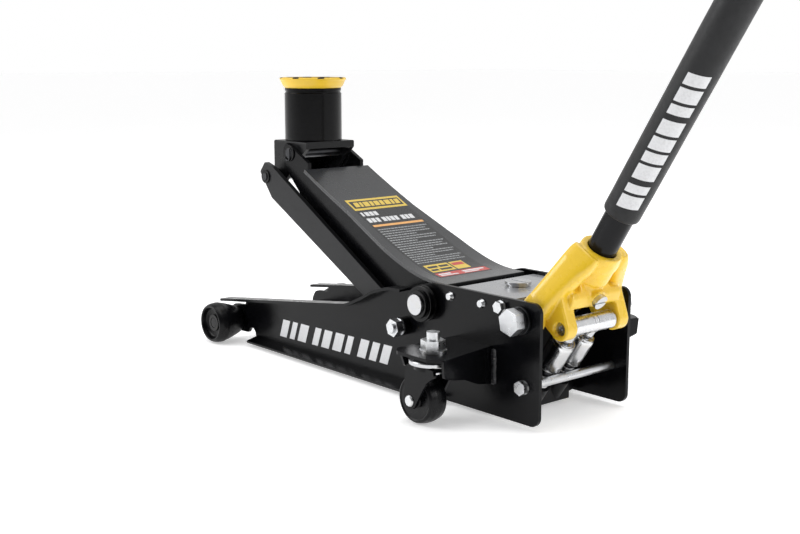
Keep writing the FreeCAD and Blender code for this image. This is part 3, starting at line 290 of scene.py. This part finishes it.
PLAN = {
    "side_plate_left": ("frame", 0.0009), "side_plate_right": ("frame", 0.0009),
    "front_axle": ("post", 0.0012), "front_axle_washers_and_clips": ("post", 0.0003),
    "caster_brackets": ("frame", 0.0007), "caster_studs_and_nuts": ("zinc", 0.0005),
    "caster_bearing_races": ("chrome", 0.0004), "valve_block": ("cast_black", 0.0012),
    "ram_cylinder": ("cast_black", 0.0005), "gland_nut": ("oxide", 0.0004), "reservoir_tank": ("cast_black", 0.0006),
    "top_cover": ("cover", 0.0006), "cover_fasteners": ("zinc", 0.0005), "filler_plug": ("zinc", 0.0005),
    "tie_rod_and_bolts": ("zinc", 0.0004), "main_pivot_pin": ("chrome", 0.0010), "main_pivot_rings": ("post", 0.0009),
    "socket_pivot_bolts": ("zinc", 0.0009), "socket_washers": ("oxide", 0.0005), "link_bolts_lower": ("zinc", 0.0006),
    "link_lower_spacers": ("post", 0.0006), "link_nuts": ("zinc", 0.0006), "pump_barrels": ("oxide", 0.0004),
    "arm_top_plate": ("arm_plate", 0.0010), "arm_webs": ("frame", 0.0006), "arm_pivot_tube_and_levers": ("cast_black", 0.0006),
    "link_bar_left": ("link", 0.0009), "link_bar_right": ("link", 0.0009),
    "saddle_bracket": ("arm", 0.0009), "bracket_pins": ("oxide", 0.0008), "bracket_spacers_and_clips": ("post", 0.0005),
    "saddle_post": ("post", 0.0006), "saddle_cup": ("cup", 0.0007), "saddle_pad": ("rubber", 0.0007),
    "ram_piston": ("ground", 0.0003), "piston_seal": ("rubber", 0.0003), "ram_rod": ("chrome", 0.0005), "crosshead_pin": ("ground", 0.0005),
    "roller_axle_and_clips": ("zinc", 0.0004), "handle_set_screw": ("zinc", 0.0008),
    "pump_roller": ("turned", 0.0004), "handle_lower_tube": ("tube", 0.0004), "handle_upper_tube": ("tube", 0.0004),
    "handle_release_fork": ("oxide", 0.0005), "release_valve_stem": ("ground", 0.0005),
    "pump_plunger_near": ("cap", 0.0008), "pump_plunger_far": ("cap", 0.0007),
    "caster_fork_left": ("frame", 0.0007), "caster_fork_right": ("frame", 0.0007),
    "caster_axle_rivet_left": ("zinc", 0.0008), "caster_axle_rivet_right": ("zinc", 0.0008),
    "caster_wheel_left": ("nylon", 0.0005), "caster_wheel_right": ("nylon", 0.0005),
    "front_wheel_left": ("nylon", 0.0008), "front_wheel_right": ("nylon", 0.0008),
}
for node_name, (mat_name, width) in PLAN.items():
    dress(node_name, mat_name, width)
for o in (NODES["handle_set_screw"], NODES["filler_plug"]):
    o.modifiers["edge_round"].segments = 3


# ---------------------------------------------------------------- new pieces
def piece(name, verts, faces, mat, body, smooth=True, replaces=()):
    me = bpy.data.meshes.new(name)
    me.from_pydata([tuple(v) for v in verts], [], faces)
    me.validate()
    me.update()
    o = bpy.data.objects.new(name, me)
    SCENE.collection.objects.link(o)
    me.materials.append(M[mat] if isinstance(mat, str) else mat)
    if smooth:
        me.shade_smooth()
    if body:
        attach(o, body)
    if replaces:
        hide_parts(*replaces)
    return o


def soften(o, angle=40):
    s = o.modifiers.new("split", "EDGE_SPLIT")
    s.split_angle = math.radians(angle)
    return o


def baked(name, source, build, mat, body, replaces):
    """A new piece from a CAD node's mesh, after the modifiers that build() puts on."""
    tmp = bpy.data.objects.new("tmp_" + name, source.data.copy())
    SCENE.collection.objects.link(tmp)
    for a in ("custom_normal", "sharp_face", "sharp_edge"):
        if a in tmp.data.attributes:
            tmp.data.attributes.remove(tmp.data.attributes[a])
    build(tmp)
    dg = bpy.context.evaluated_depsgraph_get()
    me = bpy.data.meshes.new_from_object(tmp.evaluated_get(dg))
    me.name = name
    bpy.data.objects.remove(tmp)
    me.materials.clear()
    me.materials.append(M[mat])
    me.shade_smooth()
    o = bpy.data.objects.new(name, me)
    SCENE.collection.objects.link(o)
    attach(o, body)
    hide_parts(*replaces)
    return o


# the handle socket: the CAD solid with the soft corners of a sand casting
TILT = math.radians(31.2)
H_O = P(-30.7, 0, 131.3)
H_U = Vector((math.sin(TILT), 0, math.cos(TILT)))
H_V = Vector((math.cos(TILT), 0, -math.sin(TILT)))
H_Y = Vector((0, 1, 0))


def handle_point(v, y, s):
    return H_O + H_V * (v / 1000) + H_Y * (y / 1000) + H_U * (s / 1000)


def leg_solid(verts, faces, sg, stations, steps=40, power=2.6):
    """A rounded tapering leg: stations of (y, s, half width across, half depth, depth centre)."""
    start = len(verts)
    n = len(stations)
    for i, (y, s, wide, deep, mid) in enumerate(stations):
        a, b = stations[max(i - 1, 0)], stations[min(i + 1, n - 1)]
        ty, ts = b[0] - a[0], b[1] - a[1]
        length = math.hypot(ty, ts)
        ny, ns = ts / length, -ty / length
        for k in range(steps):
            t = 2 * math.pi * k / steps
            c, d = math.cos(t), math.sin(t)
            cc = math.copysign(abs(c) ** (2 / power), c) * wide
            dd = math.copysign(abs(d) ** (2 / power), d) * deep
            verts.append(handle_point(mid + dd, sg * (y + ny * cc), s + ns * cc))
    for i in range(n - 1):
        for k in range(steps):
            q = (k + 1) % steps
            f = (start + i * steps + k, start + i * steps + q, start + (i + 1) * steps + q, start + (i + 1) * steps + k)
            faces.append(f if sg > 0 else f[::-1])
    cap0 = tuple(start + k for k in range(steps))
    cap1 = tuple(start + (n - 1) * steps + k for k in range(steps))
    faces.append(cap0[::-1] if sg > 0 else cap0)
    faces.append(cap1 if sg > 0 else cap1[::-1])


def cast_build(o):
    verts, faces = [], []
    stations = [(25.8, 96.5, 6.6, 19.0, 0.0), (28.4, 89.0, 9.4, 20.5, 0.0), (33.4, 77.0, 12.4, 20.0, 0.0), (41.5, 60.0, 12.8, 18.6, -0.5), (50.5, 42.0, 12.8, 17.4, -0.8), (58.4, 26.0, 12.8, 16.8, -0.8), (63.2, 12.0, 12.4, 16.4, -0.5)]
    for sg in (1, -1):
        leg_solid(verts, faces, sg, stations, power=3.2)
    # the collar round the handle, wider across so that it flows into both legs
    steps, rows = 64, [(70.0, 25.0, 20.5), (74.0, 30.0, 24.0), (80.0, 32.0, 25.6), (90.0, 29.8, 25.6), (96.0, 27.2, 25.4), (98.0, 25.6, 24.6), (98.0, 18.15, 18.15), (84.0, 18.15, 18.15), (70.0, 18.15, 18.15)]
    start = len(verts)
    for s, wide, deep in rows:
        for k in range(steps):
            t = 2 * math.pi * k / steps
            verts.append(handle_point(math.cos(t) * deep, math.sin(t) * wide, s))
    for i in range(len(rows)):
        j = (i + 1) % len(rows)
        for k in range(steps):
            q = (k + 1) % steps
            faces.append((start + i * steps + k, start + i * steps + q, start + j * steps + q, start + j * steps + k))
    import bmesh
    bm = bmesh.new()
    bm.from_mesh(o.data)
    bmesh.ops.remove_doubles(bm, verts=bm.verts, dist=0.00002)
    extra = bpy.data.meshes.new("legs")
    extra.from_pydata([tuple(v) for v in verts], [], faces)
    bm.from_mesh(extra)
    bm.to_mesh(o.data)
    bm.free()
    bpy.data.meshes.remove(extra)
    w = o.modifiers.new("weld", "WELD")
    w.merge_threshold = 0.00002
    r = o.modifiers.new("remesh", "REMESH")
    r.mode = "VOXEL"
    r.voxel_size = 0.0011
    s = o.modifiers.new("smooth", "SMOOTH")
    s.factor = 0.5
    s.iterations = 12


baked("handle_socket_casting", NODES["handle_socket"], cast_build, "yellow", "handle_socket", ["handle_socket"])

# handle frame: rows of a turned piece about the handle's own axis
TILT = math.radians(31.2)
H_O = P(-30.7, 0, 131.3)
H_U = Vector((math.sin(TILT), 0, math.cos(TILT)))
H_V = Vector((math.cos(TILT), 0, -math.sin(TILT)))
H_Y = Vector((0, 1, 0))


def ring_piece(name, rows, steps, origin, axis, side, up, mat, body, replaces, wobble=None, closed=True):
    """Rows of (along mm, radius mm) turned about an axis into one closed skin."""
    verts, faces = [], []
    for i, (s, r) in enumerate(rows):
        for k in range(steps):
            a = 2 * math.pi * k / steps
            rr = r + (wobble(i, s, a, r) if wobble else 0.0)
            verts.append(origin + axis * (s / 1000) + (side * math.cos(a) + up * math.sin(a)) * (rr / 1000))
    n = len(rows)
    for i in range(n if closed else n - 1):
        j = (i + 1) % n
        for k in range(steps):
            q = (k + 1) % steps
            faces.append((i * steps + k, i * steps + q, j * steps + q, j * steps + k))
    o = piece(name, verts, faces, mat, body, True, replaces)
    return o


def foam_wobble(i, s, a, r):
    if r < 18.5:
        return 0.0
    n = noise.noise(Vector((s / 38.0, math.cos(a) * 0.9, math.sin(a) * 0.9)))
    f = noise.noise(Vector((s / 9.0, math.cos(a) * 3.0 + 7.0, math.sin(a) * 3.0)))
    return 0.16 * n + 0.05 * f - 0.10


rows = [(148.4, 17.78), (148.0, 18.6), (148.0, 19.6), (148.5, 20.8), (149.6, 21.8), (151.4, 22.35), (154.0, 22.5)]
rows += [(158.0 + 4.0 * i, 22.5) for i in range(96)]
rows += [(542.0, 22.5), (544.6, 22.35), (546.4, 21.8), (547.5, 20.8), (548.0, 19.6), (548.0, 18.6), (547.6, 17.78)]
sleeve = ring_piece("handle_foam_sleeve", rows, 72, H_O, H_U, H_V, H_Y, "foam", "handle", ["handle_sleeve"], foam_wobble)


# the grip: moulded rubber with flutes along it, ring grooves at both ends and a domed cap
def grip_wobble(i, s, a, r):
    if r < 17.0 or s < 957 or s > 1059:
        return 0.0
    edge = min(1.0, (s - 957) / 5.0, (1059 - s) / 5.0)
    flute = max(0.0, math.cos(a * 14.0)) ** 0.6
    cross = 0.5 + 0.5 * math.cos(2 * math.pi * (s - 957) / 12.75)
    return -0.75 * edge * (1.0 - flute * (0.45 + 0.55 * cross))


rows = [(944.0, 15.66), (944.0, 16.8), (944.5, 17.7), (945.6, 18.15), (947.5, 18.2), (949.0, 18.2), (949.7, 17.5), (951.2, 17.5), (951.9, 18.2), (954.5, 18.2), (956.5, 18.1)]
rows += [(957.5 + 1.275 * i, 18.1) for i in range(80)]
rows += [(1061.0, 18.1), (1063.0, 18.2), (1063.7, 17.5), (1065.2, 17.5), (1065.9, 18.2), (1070.0, 18.2), (1072.8, 17.9), (1074.8, 16.6), (1075.7, 14.0), (1076.0, 9.0), (1076.0, 4.0), (1076.0, 0.4)]
rows += [(1072.4, 0.4), (1072.4, 15.66)]
ring_piece("handle_grip_rubber", rows, 112, H_O, H_U, H_V, H_Y, "rubber", "handle", ["handle_grip_and_cap"], grip_wobble)


# coil springs of round wire: one whose two ends sit on the same body rides with it, the others stay fixed where they
# are built
def coil(name, origin, axis, radius, wire, z0, z1, turns, body_a, body_b, replaces, flat_ends=1.0):
    side = axis.orthogonal().normalized()
    up = axis.cross(side)
    per, ring = 36, 10
    n = int(turns * per)
    path = []
    length = z1 - z0 - 2 * wire
    for i in range(n + 1):
        t = i / per
        # the end turns lie flat, as on a ground compression spring
        lead = lambda x: max(0.0, x - flat_ends) if x < turns - flat_ends else turns - 2 * flat_ends
        z = z0 + wire + 0.9 * wire * min(t, flat_ends) + (length - 1.8 * wire * flat_ends) * lead(t) / (turns - 2 * flat_ends) + 0.9 * wire * max(0.0, t - (turns - flat_ends))
        a = 2 * math.pi * t
        path.append(origin + axis * (z / 1000) + (side * math.cos(a) + up * math.sin(a)) * (radius / 1000))
    verts, faces = [], []
    for i, p in enumerate(path):
        d = (path[min(i + 1, n)] - path[max(i - 1, 0)]).normalized()
        out = (p - origin) - axis * ((p - origin).dot(axis))
        out.normalize()
        b = d.cross(out).normalized()
        for k in range(ring):
            a = 2 * math.pi * k / ring
            verts.append(p + (out * math.cos(a) + b * math.sin(a)) * (wire / 1000))
    for i in range(n):
        for k in range(ring):
            q = (k + 1) % ring
            faces.append((i * ring + k, i * ring + q, (i + 1) * ring + q, (i + 1) * ring + k))
    faces.append(tuple(range(ring))[::-1])
    faces.append(tuple(n * ring + k for k in range(ring)))
    o = piece(name, verts, faces, "wire", None, True)
    if body_a == body_b:
        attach(o, body_a)
    else:
        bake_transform(o)
    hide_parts(*replaces)
    return o


PT = math.radians(34)
P_AX = Vector((math.sin(PT), 0, math.cos(PT)))
coil("plunger_spring_near", P(-16.8, -20, 99.2), P_AX, 10.3, 1.25, -73.3, -6.6, 8.5, "frame", "plunger_near", ["plunger_springs"])
coil("plunger_spring_far", P(-16.8, 20, 99.2), P_AX, 7.75, 0.8, -73.3, -6.6, 10.5, "frame", "plunger_far", ["plunger_springs"])
# pressed steel bells over the plunger caps: rounded shoulder, straight skirt, rolled lip
for side_name, yy, rad, out, lip in (("near", -20.0, 14.0, 14.85, 0.08), ("far", 20.0, 10.5, 12.2, 0.35)):
    rows = [(-41.6, rad + 0.02), (-42.2, rad + 0.8), (-42.0, out), (-41.0, out + lip), (-39.6, out), (-38.4, out - 0.2)]
    rows += [(-36.0 + 4.0 * i, out - 0.2) for i in range(8)]
    rows += [(-6.2, out - 0.3), (-4.2, out - 0.8), (-2.6, out - 1.7), (-1.4, out - 3.0), (-0.7, out - 4.6), (-0.4, out - 6.2), (-0.9, out - 6.4), (-1.6, rad - 1.2), (-3.4, rad + 0.02), (-20.0, rad + 0.02)]
    ring_piece("plunger_bell_" + side_name, rows, 64, P(-16.8, yy, 99.2), P_AX, Vector((0, 1, 0)), P_AX.cross(Vector((0, 1, 0))), "cap", "plunger_" + side_name, ())
for side_name, yy in (("near", -43.0), ("far", 43.0)):
    coil("arm_return_spring_" + side_name, P(-134.1, yy, 94.5), Vector((-1, 0, 0)), 4.1, 0.85, 0.0, 25.9, 12.0, "frame", "frame", ["arm_return_springs"])


# weld beads: overlapping ripples laid along a seam
def weld(name, a, b, normal, width, height, body, seed):
    a, b, normal = Vector(a), Vector(b), Vector(normal).normalized()
    d = (b - a).normalized()
    across = d.cross(normal).normalized()
    length = (b - a).length
    steps = max(8, int(length / 0.00045))
    arc = 12
    verts, faces = [], []
    for i in range(steps + 1):
        s = length * i / steps
        taper = min(1.0, (s + 0.0006) / 0.0022, (length - s + 0.0006) / 0.0022)
        ripple = 0.80 + 0.20 * abs(math.cos(math.pi * s / 0.0026))
        lump = 1.0 + 0.16 * noise.noise(Vector((s * 300.0, seed, 0)))
        wander = 0.0007 * noise.noise(Vector((s * 120.0, seed + 5.0, 1.0)))
        for k in range(arc + 1):
            t = math.pi * k / arc
            lean = 0.0009 * math.sin(t) ** 2
            verts.append(a + d * (s + lean) + across * (math.cos(t) * width * 0.5 * taper * lump + wander) + normal * (math.sin(t) * height * taper * ripple * lump - 0.0004))
    for i in range(steps):
        for k in range(arc):
            r = i * (arc + 1) + k
            faces.append((r, r + 1, r + arc + 2, r + arc + 1))
        r = i * (arc + 1)
        faces.append((r + arc, r, r + arc + 1, r + 2 * arc + 1))
    faces.append(tuple(range(arc + 1)))
    faces.append(tuple(steps * (arc + 1) + k for k in range(arc, -1, -1)))
    return piece(name, verts, faces, "weld", body, True)


for side_name, sg in (("near", -1), ("far", 1)):
    weld("bracket_weld_rear_" + side_name, P(-74.9, sg * 83.0, 89.0), P(-74.3, sg * 83.0, 44.5), (0, sg, 0), 0.0090, 0.0032, "frame", 3.0 + sg)
    weld("bracket_weld_front_" + side_name, P(-149.0, sg * 83.0, 90.0), P(-149.0, sg * 83.0, 49.0), (0, sg, 0), 0.0056, 0.0022, "frame", 9.0 + sg)


# printed marks: thin film with a real edge, in plain bars only
def film(name, quads, mat, body, normal_of, thick=0.00016):
    """quads: lists of 4 or more corner points on the surface. Each becomes a thin closed plate."""
    verts, faces = [], []
    for q in quads:
        base, n = len(verts), len(q)
        low = [Vector(p) + normal_of(Vector(p)) * 0.00002 for p in q]
        top = [Vector(p) + normal_of(Vector(p)) * (0.00002 + thick) for p in q]
        verts += low + top
        faces.append(tuple(base + n + k for k in range(n)))
        faces.append(tuple(base + k for k in range(n - 1, -1, -1)))
        for k in range(n):
            j = (k + 1) % n
            faces.append((base + k, base + j, base + n + j, base + n + k))
    return piece(name, verts, faces, mat, body, False)


# slanted bars along each side plate
def plate_bars(sg):
    quads = []
    x0, x1 = -521.0, -270.0
    z0, z1 = 37.0, 42.5      # height of the row's middle line at its two ends
    widths = [17, 12, 20, 0, 14, 18, 20, 13, 0, 18, 15, 17]
    gap = (x1 - x0 - sum(widths)) / (len(widths) - 1)
    x = x0
    for w in widths:
        if w:
            mid = z0 + (z1 - z0) * (x + w / 2 - x0) / (x1 - x0)
            half, lean = 13.4, 5.0
            q = [P(x - lean, sg * 83.0, mid - half), P(x + w - lean, sg * 83.0, mid - half), P(x + w + lean, sg * 83.0, mid + half), P(x + lean, sg * 83.0, mid + half)]
            quads.append(q if sg < 0 else q[::-1])
        x += w + gap
    return quads


for side_name, sg in (("near", -1), ("far", 1)):
    film("plate_marks_" + side_name, plate_bars(sg), "ink_white", "frame", lambda p, sg=sg: Vector((0, sg, 0)))


# bars wrapped round the sleeve
def sleeve_point(s, a, r=22.5):
    """a in radians round the handle, from the rear underside towards +Y."""
    return H_O + H_U * (s / 1000) + (H_V * math.cos(a) + H_Y * math.sin(a)) * (r / 1000)


def out_of_sleeve(p):
    d = p - H_O
    return (d - H_U * d.dot(H_U)).normalized()


def sleeve_bars(mid, half_angle, s0, s1):
    quads = []
    heights = [17, 11, 0, 19, 13, 16, 18, 0, 12, 17, 14]
    gap = (s1 - s0 - sum(heights)) / (len(heights) - 1)
    s = s0
    for h in heights:
        if h:
            cols = 14
            for c in range(cols):
                a0 = mid - half_angle + 2 * half_angle * c / cols
                a1 = a0 + 2 * half_angle / cols
                l0 = 5.0 * (c / cols - 0.5)
                l1 = 5.0 * ((c + 1) / cols - 0.5)
                quads.append([sleeve_point(s + l0, a0), sleeve_point(s + l1, a1), sleeve_point(s + h + l1, a1), sleeve_point(s + h + l0, a0)])
        s += h + gap
    return quads


sleeve_marks = []
for tag, mid in (("near", math.radians(-52)), ("far", math.radians(128))):
    sleeve_marks.append(film("sleeve_marks_" + tag, sleeve_bars(mid, math.radians(33), 168.0, 343.0), "ink_white", "handle", out_of_sleeve, 0.00022))

# label on the arm: found on the plate's own surface
arm_mesh = NODES["arm_top_plate"].data
arm_tree = BVHTree.FromPolygons([v.co.copy() for v in arm_mesh.vertices], [tuple(p.vertices) for p in arm_mesh.polygons])


def on_arm(x, y):
    hit = arm_tree.ray_cast(P(x, y, 400.0), Vector((0, 0, -1)))
    return hit[0], hit[1]


def arm_normal(p):
    hit = arm_tree.ray_cast(Vector((p.x, p.y, 0.4)), Vector((0, 0, -1)))
    n = hit[1]
    return n if n.z > 0 else -n


# the label's corners on the plate, as distance along x and across y at its two ends
L0, L1 = -411.0, -203.0
L_W0, L_W1 = (-48.0, 49.5), (-54.0, 42.0)
L_SKEW = 0.0


def label_xy(u, t):
    """u across 0..1 from the near edge, t along 0..1 from the saddle end."""
    lo = L_W0[0] + (L_W1[0] - L_W0[0]) * t
    hi = L_W0[1] + (L_W1[1] - L_W0[1]) * t
    return L0 + (L1 - L0) * t, lo + (hi - lo) * u


def patch(u0, u1, t0, t1, step=0.02, slant=0.0):
    """Grid cells of a label area that follow the curve of the plate."""
    n = max(1, int(math.ceil((t1 - t0) / step)))
    out = []
    for i in range(n):
        a = t0 + (t1 - t0) * i / n
        b = t0 + (t1 - t0) * (i + 1) / n
        cells = []
        for u, t in ((u0, a), (u1, a), (u1, b), (u0, b)):
            k = slant * ((t1 - t) / max(1e-6, t1 - t0))
            x, y = label_xy(u + k, t)
            cells.append(on_arm(x, y)[0])
        out.append(cells[::-1])
    return out


def strip_solid(name, patches, mat, lift, thick):
    """Joined cells, each column of cells welded into one thin plate."""
    verts, faces = [], []
    for cells in patches:
        base = len(verts)
        rows = [(cells[0][3], cells[0][2])] + [(c[0], c[1]) for c in cells]
        for a, b in rows:
            for p in (a, b):
                verts.append(p + arm_normal(p) * lift)
        for a, b in rows:
            for p in (a, b):
                verts.append(p + arm_normal(p) * (lift + thick))
        n = len(rows)
        t = base + 2 * n
        for i in range(n - 1):
            r = 2 * i
            faces.append((t + r, t + r + 1, t + r + 3, t + r + 2))
            faces.append((base + r + 2, base + r + 3, base + r + 1, base + r))
            faces.append((base + r, t + r, t + r + 2, base + r + 2))
            faces.append((base + r + 1, base + r + 3, t + r + 3, t + r + 1))
        faces.append((base, base + 1, t + 1, t))
        r = 2 * (n - 1)
        faces.append((base + r, t + r, t + r + 1, base + r + 1))
    o = piece(name, verts, faces, mat, "lift_arm", False)
    import bmesh
    bm = bmesh.new()
    bm.from_mesh(o.data)
    bmesh.ops.recalc_face_normals(bm, faces=bm.faces)
    bm.to_mesh(o.data)
    bm.free()
    return o


F0, F1, F2 = 0.00003, 0.00012, 0.00020
strip_solid("arm_label_film", [patch(0.0, 1.0, 0.0, 1.0)], "ink_dark", F0, 0.00012)
strip_solid("arm_label_banner", [patch(0.0, 1.0, 0.0, 0.125)], "ink_yellow", F1 + 0.00003, 0.00012)
strip_solid("arm_label_banner_panel", [patch(0.035, 0.965, 0.022, 0.103)], "ink_black", F2 + 0.00008, 0.00010)
bars = []
u = 0.075
for k, w in enumerate([0.085, 0.05, 0.10, 0.06, 0.09, 0.07, 0.10, 0.055, 0.08]):
    bars.append(patch(u, u + w, 0.036, 0.089, slant=0.018))
    u += w + 0.020
strip_solid("arm_label_banner_bars", bars, "ink_yellow", F2 + 0.00019, 0.00008)
title = []
for row_i, (ta, tb, spans) in enumerate(((0.150, 0.195, [(0.03, 0.07), (0.10, 0.17), (0.185, 0.25), (0.265, 0.33)]),
                                        (0.222, 0.270, [(0.03, 0.09), (0.105, 0.17), (0.19, 0.25), (0.30, 0.37), (0.385, 0.44), (0.455, 0.52), (0.535, 0.60), (0.66, 0.73), (0.745, 0.80), (0.815, 0.89)]))):
    for a, b in spans:
        title.append(patch(a, b, ta, tb, slant=0.006))
strip_solid("arm_label_title_bars", title, "ink_white", F1 + 0.00003, 0.00008)
strip_solid("arm_label_rule", [patch(0.02, 0.97, 0.300, 0.322)], "ink_orange", F1 + 0.00003, 0.00008)
fine = []
seed = 11
for row_i in range(17):
    t = 0.350 + 0.0255 * row_i
    u = 0.03
    end = (0.95, 0.88, 0.93, 0.62, 0.95, 0.90, 0.50)[row_i % 7]
    while u < end:
        seed = (seed * 1103515245 + 12345) % 2147483648
        w = 0.02 + 0.045 * (seed / 2147483648)
        fine.append(patch(u, min(u + w, end), t, t + 0.0105))
        u += w + 0.012
strip_solid("arm_label_fine_rows", fine, "ink_grey", F1 + 0.00003, 0.00006)
boxes = [patch(0.06, 0.50, 0.800, 0.905), patch(0.53, 0.78, 0.800, 0.905)]
strip_solid("arm_label_boxes", boxes, "ink_yellow", F1 + 0.00003, 0.00010)
inner = [patch(0.09, 0.27, 0.820, 0.845), patch(0.30, 0.47, 0.820, 0.845), patch(0.09, 0.22, 0.862, 0.886), patch(0.25, 0.47, 0.862, 0.886)]
strip_solid("arm_label_box_bars", inner, "ink_black", F2 + 0.00004, 0.00008)
strip_solid("arm_label_box_bars_red", [patch(0.55, 0.76, 0.815, 0.850)], "ink_red", F2 + 0.00004, 0.00008)
strip_solid("arm_label_red_strip", [patch(0.04, 0.985, 0.925, 0.990)], "ink_red", F1 + 0.00003, 0.00010)
strip_solid("arm_label_red_bars", [patch(0.08, 0.30, 0.938, 0.956), patch(0.52, 0.93, 0.938, 0.956), patch(0.08, 0.40, 0.964, 0.978), patch(0.52, 0.80, 0.964, 0.978)], "ink_white", F2 + 0.00004, 0.00006)


# hairpin clip on the saddle hinge
def tube_path(name, pts, radius, mat, body, ring=10):
    verts, faces = [], []
    n = len(pts)
    last = None
    for i, p in enumerate(pts):
        d = (pts[min(i + 1, n - 1)] - pts[max(i - 1, 0)]).normalized()
        if last is None:
            side = d.orthogonal().normalized()
        else:
            side = (last - d * last.dot(d)).normalized()
        last = side
        up = d.cross(side)
        k_r = radius * (0.55 if i in (0, n - 1) else 1.0)
        for k in range(ring):
            a = 2 * math.pi * k / ring
            verts.append(p + (side * math.cos(a) + up * math.sin(a)) * (k_r / 1000))
    for i in range(n - 1):
        for k in range(ring):
            q = (k + 1) % ring
            faces.append((i * ring + k, i * ring + q, (i + 1) * ring + q, (i + 1) * ring + k))
    faces.append(tuple(range(ring))[::-1])
    faces.append(tuple((n - 1) * ring + k for k in range(ring)))
    return piece(name, verts, faces, mat, body, True)


for side_name, sg in (("near", -1), ("far", 1)):
    pts = [P(-533.4, sg * 55.2, 303.2 - 1.6 * i) for i in range(9)]
    pts += [P(-538.6 + 5.2 * math.cos(math.radians(a)), sg * 55.2, 290.0 - 5.2 * math.sin(math.radians(a))) for a in range(15, 200, 15)]
    tube_path("saddle_hinge_clip_" + side_name, pts, 0.95, "oxide", "saddle_bracket")


# ---------------------------------------------------------------- floor, light, camera
fm = Mat("pale_floor", Metallic=0.0)
fm.colour(fm.ramp(fm.noise(3.0, 4.0), [(0.3, (0.93, 0.93, 0.935)), (0.7, (0.96, 0.96, 0.96))]))
fm.rough(fm.spread(fm.noise(9.0, 4.0), 0.62, 0.75))
fm.b.inputs["Specular IOR Level"].default_value = 0.1
fm.b.inputs["Emission Color"].default_value = (1.0, 1.0, 1.0, 1.0)
fm.b.inputs["Emission Strength"].default_value = 0.42
me = bpy.data.meshes.new("floor")
me.from_pydata([(-30, -30, -0.0004), (30, -30, -0.0004), (30, 30, -0.0004), (-30, 30, -0.0004)], [], [(0, 1, 2, 3)])
floor = bpy.data.objects.new("floor", me)
SCENE.collection.objects.link(floor)
me.materials.append(fm.m)

world = bpy.data.worlds.new("studio")
SCENE.world = world
world.use_nodes = True
wt = world.node_tree
wt.nodes.clear()
wo = wt.nodes.new("ShaderNodeOutputWorld")
bg = wt.nodes.new("ShaderNodeBackground")
bg.inputs["Color"].default_value = (1.0, 1.0, 1.0, 1.0)
bg.inputs["Strength"].default_value = 1.0
# the studio: bright tent at the saddle's side and overhead, darker behind the photographer; plain white backdrop
tc = wt.nodes.new("ShaderNodeTexCoord")
turn = wt.nodes.new("ShaderNodeVectorMath")
turn.operation = "DOT_PRODUCT"
turn.inputs[1].default_value = (0.70, -0.62, -0.10)
wt.links.new(tc.outputs["Generated"], turn.inputs[0])
fall = wt.nodes.new("ShaderNodeMapRange")
fall.interpolation_type = "SMOOTHSTEP"
for key, value in (("From Min", -0.10), ("From Max", 0.80), ("To Min", 0.74), ("To Max", 0.07)):
    fall.inputs[key].default_value = value
wt.links.new(turn.outputs["Value"], fall.inputs["Value"])
tent = wt.nodes.new("ShaderNodeBackground")
tent.inputs["Color"].default_value = (1.0, 1.0, 1.0, 1.0)
wt.links.new(fall.outputs["Result"], tent.inputs["Strength"])
rays = wt.nodes.new("ShaderNodeLightPath")
pick = wt.nodes.new("ShaderNodeMixShader")
wt.links.new(rays.outputs["Is Camera Ray"], pick.inputs[0])
wt.links.new(tent.outputs[0], pick.inputs[1])
wt.links.new(bg.outputs[0], pick.inputs[2])
wt.links.new(pick.outputs[0], wo.inputs["Surface"])


def softbox(name, place, target, size, power, colour=(1, 1, 1)):
    light = bpy.data.lights.new(name, "AREA")
    light.shape = "RECTANGLE"
    light.size, light.size_y = size
    light.energy = power
    light.color = colour
    o = bpy.data.objects.new(name, light)
    SCENE.collection.objects.link(o)
    o.location = place
    o.rotation_mode = "QUATERNION"
    o.rotation_quaternion = (Vector(target) - Vector(place)).to_track_quat("-Z", "Y")
    return o


softbox("key", (-1.9, -1.8, 1.5), (0.0, 0.0, 0.2), (1.3, 1.8), 30)
softbox("top", (0.0, 0.2, 2.6), (0.0, 0.0, 0.0), (2.6, 2.0), 34)
softbox("rim", (2.0, 0.9, 1.2), (0.1, 0.0, 0.25), (0.9, 1.4), 14)

cam_data = bpy.data.cameras.new("photo_view")
cam = bpy.data.objects.new("photo_view", cam_data)
SCENE.collection.objects.link(cam)
az, el = math.radians(49.23), math.radians(9.97)
back = Vector((math.sin(az) * math.cos(el), -math.cos(az) * math.cos(el), math.sin(el)))
cam.location = (0.97203, -1.07917, 0.43691)
cam.rotation_mode = "QUATERNION"
cam.rotation_quaternion = (-back).to_track_quat("-Z", "Y")
cam_data.sensor_width = 36.0
cam_data.lens = 53.255
cam_data.shift_x = -0.00125
cam_data.shift_y = -0.0024
cam_data.clip_start, cam_data.clip_end = 0.05, 200.0
SCENE.camera = cam
SCENE.view_settings.view_transform = "Standard"
SCENE.view_settings.look = "None"
